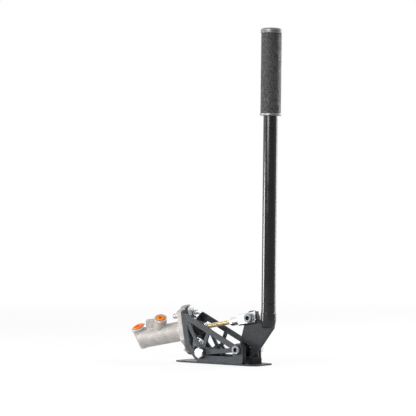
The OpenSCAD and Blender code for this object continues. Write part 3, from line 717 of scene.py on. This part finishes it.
def nut_across(at, low):
    """A nut on a bolt across the frame, from low outwards."""
    return placed(hex_nut(HEX_FLATS, BOLT_D, low, low + NUT_H), at, HEX_TURN)


def ring_across(at, outer, low):
    """A washer on a bolt across the frame, from low outwards."""
    return placed(washer(outer, BOLT_D, low, low + WASHER_T), at, ACROSS)


tie_head = placed(hex_head(HEX_FLATS, -nut_low - HEAD_H, -nut_low), TIE_AT, HEX_TURN)
tie_shank = placed(threaded(BOLT_D, BOLT_PITCH, -nut_low, nut_low + NUT_H + BOLT_TIP), TIE_AT, ACROSS)
turned("tie_bolt", [tie_head, tie_shank], "frame", bright_zinc, sharp=28)
turned("tie_nut", [nut_across(TIE_AT, nut_low)], "frame", bright_zinc, loop=True, sharp=28)
tie_rings = [ring_across(TIE_AT, WASHER_D, low) for low in (-nut_low, PLATE_OUT)]
# The washers' near-black is partly painted shade round the bolt head.
turned("tie_washers", tie_rings, "frame", black_oxide, loop=True, sharp=35)

# %% [markdown]
# ## Socket screws
# The lever's pivot and the clevis each have a socket screw. Its head is knurled outside and has a hexagon
# inside. The inside is darker than the turned outside, partly as the black skin that it keeps and partly as
# painted shade in the recess, and one finish can't be both, so a thin black cup lines each socket as a piece
# of its own.

# %% Pivot bolt and clevis bolt
SOCKET_HEAD_D = 16
SOCKET_FLATS = 7
SOCKET_H = 7.0
SOCKET_DEEP = 0.55
KNURL = 0.12
KNURL_RIDGES = 60
SHADE_CUP_GAP = 0.04
SHADE_CUP_WALL = 0.25


def socket_head(low, high):
    """A knurled socket head from low to high, its open end at low."""
    angle = np.linspace(0, 2 * pi, 240, endpoint=False)
    head_r = SOCKET_HEAD_D / 2
    knurl = head_r - KNURL - KNURL * np.cos(KNURL_RIDGES * angle)
    hexagon = hex_radius(angle, SOCKET_FLATS)
    floor = low + SOCKET_DEEP * (high - low)
    inside = [(0, floor + 0.8), (0.3 * SOCKET_FLATS, floor + 0.4), (hexagon, floor), (hexagon, low + 0.4)]
    face = [(hexagon + 0.3, low), (head_r - 0.9, low), (head_r - 0.35, low + 0.3)]
    side = [(knurl, low + 0.9), (knurl, high - 0.8), (head_r - 0.3, high - 0.5), (head_r - 0.3, high)]
    return ring_rows(angle, inside + face + side + [(0, high)])


def socket_painted_shade_cup(low, high):
    """Black skin and painted shade in a socket: a thin cup that fits the hexagon of a head from low to high.
    """
    angle = np.linspace(0, 2 * pi, 72, endpoint=False)
    outer = hex_radius(angle, SOCKET_FLATS) - SHADE_CUP_GAP
    inner = outer - SHADE_CUP_WALL
    floor = low + SOCKET_DEEP * (high - low) - 0.05
    rim = low + 0.5
    outside = [(0, floor), (outer, floor), (outer, rim)]
    return ring_rows(angle, outside + [(inner, rim), (inner, floor - 0.3), (0, floor - 0.3)])


def socket_screw(node, body, at, seat, tip):
    """A socket screw across the frame, with its cup of painted shade: its head seats at -seat, its thread
    ends at tip.
    """
    head = placed(socket_head(-seat - SOCKET_H, -seat), at, ACROSS)
    shank = placed(threaded(BOLT_D, BOLT_PITCH, -seat, tip), at, ACROSS)
    turned(node, [head, shank], body, dark_steel, sharp=28)
    # The black cup in the socket is partly painted shade in the recess.
    painted_shade_cup = placed(socket_painted_shade_cup(-seat - SOCKET_H, -seat), at, ACROSS)
    add_piece(node + "_lining", [painted_shade_cup], body, black_oxide, sharp=28)


PIVOT_AT = (PIVOT[0], 0, PIVOT[1])
PIVOT_WASHER_D = 22
socket_screw("pivot_bolt", "frame", PIVOT_AT, PLATE_OUT, nut_low + NUT_H + BOLT_TIP)
pivot_nut = nut_across(PIVOT_AT, nut_low)
turned("pivot_nut", [pivot_nut], "frame", bright_zinc, loop=True, sharp=28)
pivot_ring = ring_across(PIVOT_AT, PIVOT_WASHER_D, PLATE_OUT)
turned("pivot_washer", [pivot_ring], "frame", bright_zinc, loop=True, sharp=35)

PIN_AT = (PIN[0], 0, PIN[1])
CLEVIS_HALF = 10.0
CLEVIS_WASHER_D = 19.0
clevis_nut_low = CLEVIS_HALF + WASHER_T
socket_screw("clevis_bolt", "pushrod", PIN_AT, CLEVIS_HALF, clevis_nut_low + NUT_H + BOLT_TIP)
clevis_nut = nut_across(PIN_AT, clevis_nut_low)
turned("clevis_nut", [clevis_nut], "pushrod", bright_zinc, loop=True, sharp=28)
clevis_ring = ring_across(PIN_AT, CLEVIS_WASHER_D, CLEVIS_HALF)
turned("clevis_washer", [clevis_ring], "pushrod", bright_zinc, loop=True, sharp=35)

# %% [markdown]
# ## Pushrod
# A length of threaded rod with a ball on its end, so its length can be set in the clevis and locked by a
# jam nut. A second nut near the cylinder holds the boot's small end. All of them are turned round the
# cylinder's axis.

# %% Pushrod and its nuts
ROD_D = 8.0
ROD_PITCH = 1.25
ROD_REAR = -4.0
ROD_FRONT = 117.5
BALL_R = 6.0
ROD_NUT_FLATS = 13
ROD_NUT_H = 6.5
JAM_REAR = 89.5
COLLAR_REAR = 31.2
ball_angle = np.linspace(0, pi, 24)
ball = lathe(np.stack([BALL_R * np.sin(ball_angle), -BALL_R * np.cos(ball_angle)], axis=1), 32)
rod_grids = [
    placed(threaded(ROD_D, ROD_PITCH, ROD_REAR, ROD_FRONT, 40), mount_face, ON_AXIS),
    placed(ball, on_axis(ROD_REAR), ON_AXIS),
]
add_piece("pushrod_threaded", rod_grids, "pushrod", yellow_zinc, ["pushrod"], sharp=60)
for node, low in [("jam_nut", JAM_REAR), ("boot_collar", COLLAR_REAR)]:
    nut = placed(hex_nut(ROD_NUT_FLATS, ROD_D, low, low + ROD_NUT_H), mount_face, ON_AXIS)
    turned(node, [nut], "pushrod", bright_zinc, loop=True, sharp=28)

# %% [markdown]
# ## Studs of the cylinder
# Two studs hold the cylinder to its bulkhead, with a nut and a washer on each side. The upper one has a
# long tail behind its nut. The washers inside the bulkhead are wider, as they bear on plate and not on a
# thick flange.

# %% Studs, nuts and washers of the cylinder
STUD_UP = 57.15 / 2
FLANGE_T = 12.0
BULKHEAD_T = 5.0
STUD_TAILS = (2.0, 16.0)
STUD_NOSE = 7.0
WIDE_WASHER_D = 26.5
outer_nut = -FLANGE_T - WASHER_T - NUT_H
inner_nut = BULKHEAD_T + WASHER_T
stud_at = [on_axis(0, side * STUD_UP) for side in (-1, 1)]
stud_tip = inner_nut + NUT_H + STUD_NOSE
stud_rods = [threaded(BOLT_D, BOLT_PITCH, outer_nut - tail, stud_tip) for tail in STUD_TAILS]
studs = [placed(rod, at, ON_AXIS) for rod, at in zip(stud_rods, stud_at)]
add_piece("cylinder_studs_threaded", studs, "frame", bright_zinc, ["cylinder_studs"], sharp=60)
stud_rings = [
    placed(washer(outer, BOLT_D, low, low + WASHER_T), at, ON_AXIS)
    for at in stud_at
    for outer, low in ((WASHER_D, -FLANGE_T - WASHER_T), (WIDE_WASHER_D, BULKHEAD_T))
]
turned("cylinder_washers", stud_rings, "frame", bright_zinc, loop=True, sharp=35)
for name, low in [("outer_nuts", outer_nut), ("inner_nuts", inner_nut)]:
    nuts = [placed(hex_nut(HEX_FLATS, BOLT_D, low, low + NUT_H), at, ON_AXIS) for at in stud_at]
    stands_for = ["cylinder_" + name]
    add_piece(name + "_turned", nuts, "frame", bright_zinc, stands_for, loop=True, sharp=28)

# %% [markdown]
# ## The casting
# Sand casting rounds every inner corner, and the solid's sharp joins between barrel, bosses and flange
# would look machined. Fillets could be drawn one by one, but here a copy of the solid is remeshed in small
# cubes and smoothed, which melts all the joins at once.

# %% Casting
CAST_VOXEL = 0.75
CAST_PASSES = 3
NO_EDGE = 180


def melted_copy(node, voxel, passes):
    """A copy of a solid, remeshed at a voxel in millimetres and smoothed, so that corners become fillets."""
    mesh = nodes[node].data.copy()
    tidy_mesh(mesh, NO_EDGE)
    rough = linked(node + "_rough", mesh)
    remesh = rough.modifiers.new("cubes", "REMESH")
    remesh.mode = "VOXEL"
    remesh.voxel_size = voxel * MM
    smooth = rough.modifiers.new("melt", "SMOOTH")
    smooth.factor = 0.5
    smooth.iterations = passes
    ready = rough.evaluated_get(bpy.context.evaluated_depsgraph_get())
    melted = bpy.data.meshes.new_from_object(ready)
    bpy.data.objects.remove(rough)
    smooth_shaded(melted, NO_EDGE)
    return melted


cast_mesh = melted_copy("cylinder_body", CAST_VOXEL, CAST_PASSES)
cast_mesh.materials.clear()
cast_mesh.materials.append(cast_aluminium)
on_body(linked("cylinder_casting", cast_mesh), "frame", ["cylinder_body"])
print("casting faces:", len(cast_mesh.polygons))

# %% [markdown]
# ## Machined rims
# The face round each port is cut after casting, so it is crisp, bright and chamfered. Melting would have
# blurred it, so each rim is a lathed ring that is laid into the casting.

# %% Machined rims of the ports
OUTLET_AT = on_axis(-116.0)
INLET_AT = on_axis(-73.5)
OUTLET_H = 23.5
INLET_H = 38.5
OUTLET_RIM = (28, 17.5)
INLET_RIM = (23.6, 12)
RIM_DEEP = 3
RIM_CHAMFER = 0.5
PORT_CHAMFER = 0.8


def faced_rim(outer, bore, top):
    """The machined ring round a port, chamfered inside and out. Its rows close in a loop."""
    outer_r, bore_r, foot = outer / 2, bore / 2, top - RIM_DEEP
    outside = [(bore_r, foot), (outer_r - 0.3, foot), (outer_r, foot + 0.4), (outer_r, top - RIM_CHAMFER)]
    face = [(outer_r - RIM_CHAMFER, top), (bore_r + PORT_CHAMFER, top), (bore_r, top - PORT_CHAMFER)]
    return lathe(outside + face, 96)


rims = [
    placed(faced_rim(*OUTLET_RIM, OUTLET_H), OUTLET_AT, OUTLET),
    placed(faced_rim(*INLET_RIM, INLET_H), INLET_AT, INLET),
]
add_piece("port_rims", rims, "frame", machined_aluminium, loop=True, sharp=25)

# %% [markdown]
# ## Port plugs
# Transport plugs keep dirt out of the ports. One is a flat cap with a small hole, the other a cup with a
# rim. Both are lathed from a profile of radius and height above the port's face, with the corners rounded
# as in a mould.

# %% Plugs
STEM_END = -10.5
CAP_FOOT = 0.05
HOLE_R, HOLE_END = 2.7, -4.8
FLAT_CAP_R, FLAT_CAP_H = 8, 1.2
FLAT_STEM_R = 5.8
CUP_R, CUP_FLOOR = 5.9, -3.6
CUP_CAP_R, CUP_CAP_H = 10.75, 2.2
CUP_STEM_R = 8.55
inlet_corners = [
    (0, HOLE_END), (HOLE_R, HOLE_END), (HOLE_R, FLAT_CAP_H - 0.5), (HOLE_R + 0.4, FLAT_CAP_H),
    (FLAT_CAP_R - 0.5, FLAT_CAP_H), (FLAT_CAP_R, FLAT_CAP_H - 0.5), (FLAT_CAP_R, CAP_FOOT),
    (FLAT_STEM_R, CAP_FOOT), (FLAT_STEM_R, STEM_END), (0, STEM_END),
]
outlet_corners = [
    (0, CUP_FLOOR), (CUP_R, CUP_FLOOR), (CUP_R + 0.6, CUP_CAP_H - 0.9), (CUP_R + 1.1, CUP_CAP_H - 0.2),
    (CUP_R + 1.8, CUP_CAP_H), (CUP_CAP_R - 0.85, CUP_CAP_H), (CUP_CAP_R, CUP_CAP_H - 0.8),
    (CUP_CAP_R, CAP_FOOT), (CUP_STEM_R, CAP_FOOT), (CUP_STEM_R, STEM_END), (0, STEM_END),
]
inlet_grid = placed(lathe(rounded(inlet_corners, 0.3), 72), INLET_AT + INLET_H * INLET[:, 2], INLET)
outlet_grid = placed(lathe(rounded(outlet_corners, 0.35), 72), OUTLET_AT + OUTLET_H * OUTLET[:, 2], OUTLET)
add_piece("inlet_plug_moulded", [inlet_grid], "frame", inlet_orange, ["inlet_plug"])
add_piece(
    "outlet_plug_moulded", [outlet_grid], "frame", outlet_orange, ["outlet_plug"]
)

# %% [markdown]
# ## Boot
# The rubber boot keeps dust out of the cylinder's nose. Its bellows are a wave in the profile: the radius
# swings between ridge and valley while it narrows from the cylinder to the rod. As the piston moves in, the
# real boot folds up.

# %% Boot
BOOT_REAR = 8
BOOT_WIDE = 16.1
BOOT_NARROW = 7.4
BOOT_FOLDS = 4
FOLD_DEEP = 2.3
BOOT_WALL = 1.0
COLLAR_GAP = 0.3


def bellows(low, high):
    """A closed wavy sleeve: an outer profile of folds, then the same a wall further in, back again."""
    t = np.linspace(0, 1, 24 * BOOT_FOLDS)
    wave = 0.5 - 0.5 * np.cos(2 * pi * BOOT_FOLDS * t)
    radius = BOOT_WIDE + (BOOT_NARROW - BOOT_WIDE) * t - FOLD_DEEP * wave
    height = low + (high - low) * t
    outer = np.stack([radius, height], axis=1)
    inner = np.stack([radius - BOOT_WALL, height], axis=1)[::-1]
    return lathe(np.concatenate([outer, inner]), 72)


boot_grid = placed(bellows(BOOT_REAR, COLLAR_REAR - COLLAR_GAP), mount_face, ON_AXIS)
boot = add_piece(
    "dust_boot_folded", [boot_grid], "frame", black_rubber, ["dust_boot"], loop=True, sharp=80
)
tuple(on_axis(BOOT_REAR) * MM)
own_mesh(boot)

# %% [markdown]
# ## Return spring
# The spring behind the piston pushes it back when the lever is let go. It is a circle carried along a
# helix. A screw modifier could wind it, but the formula also closes its ends.

# %% Return spring
SPRING_R = 6.7
SPRING_WIRE_R = 0.8
SPRING_REAR = -105.7
SPRING_FRONT = -61.8
SPRING_TURNS = 7
WIRE_STEPS = 10


def helix(low, high):
    """A round wire carried along a helix: its section turns with the helix, in the plane of the axis."""
    share = np.linspace(0, 1, 40 * SPRING_TURNS)[:, None]
    turn = 2 * pi * SPRING_TURNS * share
    section = np.linspace(0, 2 * pi, WIRE_STEPS, endpoint=False)[None, :]
    reach = SPRING_R + SPRING_WIRE_R * np.cos(section)
    climb = low + SPRING_WIRE_R + (high - low - 2 * SPRING_WIRE_R) * share
    height = climb + SPRING_WIRE_R * np.sin(section)
    wall = np.stack([reach * np.cos(turn), reach * np.sin(turn), height], axis=-1)
    ends = [row.mean(axis=0) + np.zeros((1, WIRE_STEPS, 3)) for row in (wall[0], wall[-1])]
    return np.concatenate([ends[0], wall, ends[1]])


spring_grid = placed(helix(SPRING_REAR, SPRING_FRONT), mount_face, ON_AXIS)
spring = add_piece(
    "return_spring_wound", [spring_grid], "frame", screw_steel, ["return_spring"], sharp=60
)
tuple(on_axis(SPRING_REAR) * MM)
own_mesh(spring)

# %% [markdown]
# ## Lever tube and socket
# The socket is a turned foot welded on the lever plate, with a collar, a neck as wide as the tube and a
# spigot that the tube slides over. Two lathed profiles give the foot's cone and the fine joint line above
# the neck, which plain cylinders would lose.

# %% Tube and socket
FOOT_R = 11.5
COLLAR_R = 13.5
TUBE_R = 12.5
TUBE_WALL = 2
SPIGOT_R = 10.3
CONE_TOP = 11
COLLAR_TOP = 24.5
TUBE_LOW = 40.5
SPIGOT_TOP = 85.5
TUBE_HIGH = 514.5
JOINT_GAP = 0.3
TUBE_EASE = 0.4
foot_corners = [(0, 0), (FOOT_R - 0.6, 0), (FOOT_R, 0.6), (COLLAR_R, CONE_TOP), (COLLAR_R, COLLAR_TOP - 0.7)]
neck_corners = [
    (COLLAR_R - 0.6, COLLAR_TOP), (TUBE_R, COLLAR_TOP), (TUBE_R, TUBE_LOW - 0.2), (TUBE_R - 1, TUBE_LOW)
]
spigot_corners = [(SPIGOT_R, TUBE_LOW), (SPIGOT_R, SPIGOT_TOP), (0, SPIGOT_TOP)]
socket_profile = np.concatenate([rounded(foot_corners + neck_corners, 0.3), spigot_corners])
turned("tube_socket", [on_lever(socket_profile, 96)], "lever", tube_enamel)

tube_foot = TUBE_LOW + JOINT_GAP
tube_profile = [
    (TUBE_R - TUBE_WALL, tube_foot), (TUBE_R - TUBE_EASE, tube_foot), (TUBE_R, tube_foot + TUBE_EASE),
    (TUBE_R, TUBE_HIGH), (TUBE_R - TUBE_WALL, TUBE_HIGH),
]
tube_grids = [on_lever(tube_profile, 96)]
add_piece(
    "lever_tube_drawn", tube_grids, "lever", tube_enamel, ["lever_tube"], loop=True, sharp=30
)

# %% [markdown]
# ## Welds
# The pivot tube and the socket are welded to the lever plate, and the lugs to the base. A weld bead is a
# round section carried along the seam, whose radius ripples as the molten pool was moved on in steps. A
# curve with a round bevel would give an even cord, not a weld.


# %% Weld beads
RIPPLE_DROP = 0.16
OFF_SEAM = (0.31, 0.84, 0.44)


def bead(path, radius, ripple):
    """A weld bead along a path of points: the radius drops and recovers once every ripple millimetres."""
    along = np.gradient(path, axis=0)
    along /= np.linalg.norm(along, axis=1, keepdims=True)
    run = np.concatenate([[0], np.cumsum(np.linalg.norm(np.diff(path, axis=0), axis=1))])
    side = np.cross(along, OFF_SEAM)
    side /= np.linalg.norm(side, axis=1, keepdims=True)
    other = np.cross(along, side)
    ends = np.clip(np.minimum(run, run[-1] - run) / radius, 0, 1) ** 0.5
    size = (radius * (1 - RIPPLE_DROP * ((run / ripple) % 1)) * ends)[:, None, None]
    angle = np.linspace(0, 2 * pi, 12, endpoint=False)[None, :, None]
    return path[:, None] + size * (np.cos(angle) * side[:, None] + np.sin(angle) * other[:, None])


def both_sides(x, y, z):
    """Two paths of points, at -y and at y, where x and z are arrays or numbers."""
    return [np.stack(np.broadcast_arrays(x, side * y, z), axis=1) for side in (-1, 1)]


PIVOT_BEAD, SOCKET_BEAD, LUG_BEAD = 1.5, 1.3, 1.6
LEVER_RIPPLE = 2.2
LUG_RIPPLE = 2.4
PIVOT_SEAM_R = 12.0
PIVOT_SEAM_Y = 4.5
SOCKET_SEAM_HALF = 10
SOCKET_SEAM_Y = 4.4
SOCKET_SEAM_SINK = 0.2
LUG_SEAM_X = (-39, 62)
LUG_SEAM_Y = 16.9
LUG_SEAM_Z = 3.2
turn = np.linspace(0, 2 * pi, 160)
round_x, round_z = PIVOT[0] + PIVOT_SEAM_R * np.cos(turn), PIVOT[1] + PIVOT_SEAM_R * np.sin(turn)
pivot_beads = [bead(path, PIVOT_BEAD, LEVER_RIPPLE) for path in both_sides(round_x, PIVOT_SEAM_Y, round_z)]
add_piece("pivot_welds", pivot_beads, "lever", tube_enamel, ["pivot_rings"], sharp=60)
foot_x = LEVER_FOOT[0] + np.linspace(-SOCKET_SEAM_HALF, SOCKET_SEAM_HALF, 90)
socket_paths = both_sides(foot_x, SOCKET_SEAM_Y, LEVER_FOOT[1] - SOCKET_SEAM_SINK)
socket_beads = [bead(path, SOCKET_BEAD, LEVER_RIPPLE) for path in socket_paths]
add_piece("socket_welds", socket_beads, "lever", tube_enamel, sharp=60)
lug_paths = both_sides(np.linspace(*LUG_SEAM_X, 300), LUG_SEAM_Y, LUG_SEAM_Z)
lug_beads = [bead(path, LUG_BEAD, LUG_RIPPLE) for path in lug_paths]
add_piece("lug_welds", lug_beads, "frame", frame_coat, sharp=60)

# %% [markdown]
# ## The grip
# The grip is a sleeve whose skin is broken into small grains with creases between them. A bump map alone
# would leave its outline smooth, so the grains are real relief: the skin dips by a sum of three seeded
# value noises that close round the grip, and it falls away at both ends, where the rings hold it.

# %% Grip
GRIP_R = 18.0
GRIP_LOW = 370.0
GRIP_HIGH = 508.0
GRIP_ROWS = 300
GRIP_STEPS = 240
SKIN_DEEP = 0.75
END_RUN = 1.5
END_DROP = 0.8
BORE_SHARE = 0.71


def value_noise(around, along, cells, seed):
    """Smooth random heights from 0 to 1: a seeded lattice, blended by smooth steps, that closes round."""
    lattice = np.random.default_rng(seed).random((cells[1] + 2, cells[0]))
    a, b = around * cells[0], along * cells[1]
    i, j = np.floor(a).astype(int), np.floor(b).astype(int)
    s, t = (a - i) ** 2 * (3 - 2 * (a - i)), (b - j) ** 2 * (3 - 2 * (b - j))
    left, right = i % cells[0], (i + 1) % cells[0]
    low = lattice[j, left] * (1 - s) + lattice[j, right] * s
    high = lattice[j + 1, left] * (1 - s) + lattice[j + 1, right] * s
    return low * (1 - t) + high * t


around = np.linspace(0, 1, GRIP_STEPS, endpoint=False)[None, :] + np.zeros((GRIP_ROWS, 1))
along = np.linspace(0, 1, GRIP_ROWS)[:, None] + np.zeros((1, GRIP_STEPS))
creases = 1 - np.abs(2 * value_noise(around, along, cells=(34, 42), seed=3) - 1)
grains = value_noise(around, along, cells=(80, 98), seed=5)
fine = value_noise(around, along, cells=(118, 148), seed=8)
dip = 0.55 * creases**3 + 0.30 * grains + 0.15 * fine
grip_l = GRIP_HIGH - GRIP_LOW
end_rise = np.clip(np.minimum(along, 1 - along) * grip_l / END_RUN, 0, 1) ** 0.5
radius = GRIP_R - SKIN_DEEP * dip - END_DROP * (1 - end_rise)
angle = 2 * pi * around
wall = np.stack([radius * np.cos(angle), radius * np.sin(angle), GRIP_LOW + grip_l * along], axis=-1)
bore = [row[None] * [BORE_SHARE, BORE_SHARE, 1] for row in (wall[-1], wall[0])]
grip_grids = [placed(np.concatenate([wall, *bore]), (LEVER_FOOT[0], 0, LEVER_FOOT[1]), UP_LEVER)]
add_piece(
    "grip_sleeve_grained", grip_grids, "lever", grip_skin, ["grip_sleeve"], loop=True, sharp=70
)

# %% [markdown]
# ## Rings and cap of the grip
# A turned ring holds each end of the sleeve, the upper one with a groove, and a shallow domed cap closes
# the tube. Their profiles are lathed round the lever's line, so they share its slight lean.

# %% Rings and cap
RING_BORE = 12.7
RING_R = 18.8
RING_LOW = 365.5
RING_TOP = 369.9
UPPER_LOW = 508.1
GROOVE_R = 18.0
CAP_TOP = 517
CAP_R = 17.4
CAP_STEM_R = 10.2
CAP_STEM_LOW = 504.6
lower_profile = [
    (RING_BORE, RING_LOW), (RING_R - 0.6, RING_LOW), (RING_R, RING_LOW + 0.6),
    (RING_R, RING_TOP - 0.8), (RING_R - 0.6, RING_TOP), (RING_BORE, RING_TOP),
]
upper_profile = [
    (RING_BORE, UPPER_LOW), (RING_R - 0.5, UPPER_LOW), (RING_R, UPPER_LOW + 0.5), (RING_R, UPPER_LOW + 1.9),
    (RING_R - 0.4, UPPER_LOW + 2.2), (GROOVE_R, UPPER_LOW + 2.4), (GROOVE_R, UPPER_LOW + 3.3),
    (RING_R - 0.4, UPPER_LOW + 3.5), (RING_R, UPPER_LOW + 3.8), (RING_R, TUBE_HIGH - 0.6),
    (RING_R - 0.5, TUBE_HIGH), (RING_BORE, TUBE_HIGH),
]
cap_corners = [
    (0, CAP_TOP), (12.6, CAP_TOP), (16.2, CAP_TOP - 0.9), (CAP_R, TUBE_HIGH + 0.05), (CAP_R, TUBE_HIGH),
    (CAP_STEM_R, TUBE_HIGH), (CAP_STEM_R, CAP_STEM_LOW), (0, CAP_STEM_LOW),
]
for node, profile in [("grip_lower_ring", lower_profile), ("grip_upper_ring", upper_profile)]:
    turned(node, [on_lever(profile, 120)], "lever", ring_metal, loop=True)
turned("grip_end_cap", [on_lever(rounded(cap_corners, 0.8), 120)], "lever", ring_metal)

# %% [markdown]
# ## The floor
# A white floor that keeps the object's faint shadow. A floor lit to white would need far more light on the
# object, so it glows for the camera and takes the rest of its light from the lamps, and it glows more
# further off, where the shadow has ended. Mirror and glass rays see the glow too, but only beyond the
# object: the floor on the camera's side stays darker, as it does in a studio.

# %% Floor
FLOOR_HALF = 30
FLOOR_GLOW = 0.8
FAR_GLOW = 0.18
GLOW_STRENGTH = 1.045


def ray_kind(wire, kind):
    """1 for rays of one kind and 0 for all others."""
    return wire.node("ShaderNodeLightPath", None, None, kind)


def mirror_rays(wire):
    """1 for rays that a mirror or a glass sends on and 0 for all others."""
    return ray_kind(wire, "Is Glossy Ray") + ray_kind(wire, "Is Transmission Ray")


floor_mesh = bpy.data.meshes.new("floor")
floor_corners = [(x * FLOOR_HALF, y * FLOOR_HALF, 0) for x, y in ((-1, -1), (1, -1), (1, 1), (-1, 1))]
floor_mesh.from_pydata(floor_corners, [], [(0, 1, 2, 3)])
floor = linked("floor", floor_mesh)

floor_white, place = new_finish("floor_white")
paper = noise(place, scale=30, detail=2)
paper_white = mixed(paper, (0.88, 0.88, 0.88, 1), (0.90, 0.90, 0.90, 1))
set_shader(floor_white, {"Base Color": paper_white, "Roughness": 0.9})
beyond = place.vector_math("DOT_PRODUCT", {0: place, 1: tuple(view_dir)}).clamped(-0.3, 0.6)
far_off = place.vector_math("LENGTH", {0: place}).clamped(0.8, 3.5)
shown = (ray_kind(place, "Is Camera Ray") + beyond * mirror_rays(place)).clamped(0, 1)
glow = shown * (FLOOR_GLOW + far_off * FAR_GLOW)
lightness = place.node("ShaderNodeEmission", None, {"Color": (1, 1, 1, 1), "Strength": GLOW_STRENGTH})
tree = floor_white.node_tree
shader = Wire(tree, tree.nodes["Principled BSDF"].outputs["BSDF"])
glowing = place.node("ShaderNodeMixShader", None, {0: glow, 1: shader, 2: lightness})
plug(tree, tree.nodes["Material Output"].inputs["Surface"], glowing)
floor_mesh.materials.append(floor_white)
print("floor is", 2 * FLOOR_HALF, "m across")

# %% [markdown]
# ## The surround
# The world is white where the camera looks past the object, and where a reflection does. It is dimmer as a
# light, and dimmest on the camera's side, as the dark room behind a camera is. One dot product tells the
# two sides apart, which a painted sky would need a picture for.

# %% Surround
BACK_LIGHT = 0.6
FRONT_LIGHT = 0.3
world = bpy.data.worlds.new("surround")
world.use_nodes = True
bpy.context.scene.world = world
tree = world.node_tree
direction = Wire(tree, tree.nodes.new("ShaderNodeTexCoord").outputs["Generated"])
towards_camera = direction.vector_math("DOT_PRODUCT", {0: direction, 1: tuple(-view_dir)})
behind = 1 - towards_camera.clamped(-0.25, 0.75)
room = FRONT_LIGHT + behind * (BACK_LIGHT - FRONT_LIGHT)
shown = (ray_kind(direction, "Is Camera Ray") + behind * mirror_rays(direction)).clamped(0, 1)
plug(tree, tree.nodes["Background"].inputs["Strength"], shown + (1 - shown) * room)
plug(tree, tree.nodes["Background"].inputs["Color"], (1, 1, 1, 1))
print("surround is white")

# %% [markdown]
# ## Lamps
# Three soft lamps. A low one at the left lights the left edges of tube, barrel and bolts, a high one in
# front at the left models the plates, and a tall narrow one behind on the right draws the line down the
# tube's far edge. Large lamps are used, because their reflections on round metal are broad and soft.

# %% Lamps
LAMP_AIM = Vector((0.05, 0, 0.25))
LAMP_DISTANCE = 1.6


def soft_lamp(name, turn, height, size, power):
    """A rectangular lamp that faces the object from turn degrees to the right of the camera."""
    data = bpy.data.lights.new(name, "AREA")
    data.shape = "RECTANGLE"
    data.size, data.size_y = size
    data.energy = power
    lamp = linked(name, data)
    angle = VIEW_TURN + radians(turn)
    lamp.location = LAMP_AIM + Vector((sin(angle) * LAMP_DISTANCE, -cos(angle) * LAMP_DISTANCE, height))
    lamp.rotation_euler = (LAMP_AIM - lamp.location).to_track_quat("-Z", "Y").to_euler()


soft_lamp("side_lamp", turn=-96, height=-0.06, size=(0.55, 0.36), power=12)
soft_lamp("front_lamp", turn=-37, height=0.42, size=(0.8, 0.45), power=14)
soft_lamp("rim_lamp", turn=126, height=0.4, size=(0.4, 1.6), power=19)
print("lamps: 3")
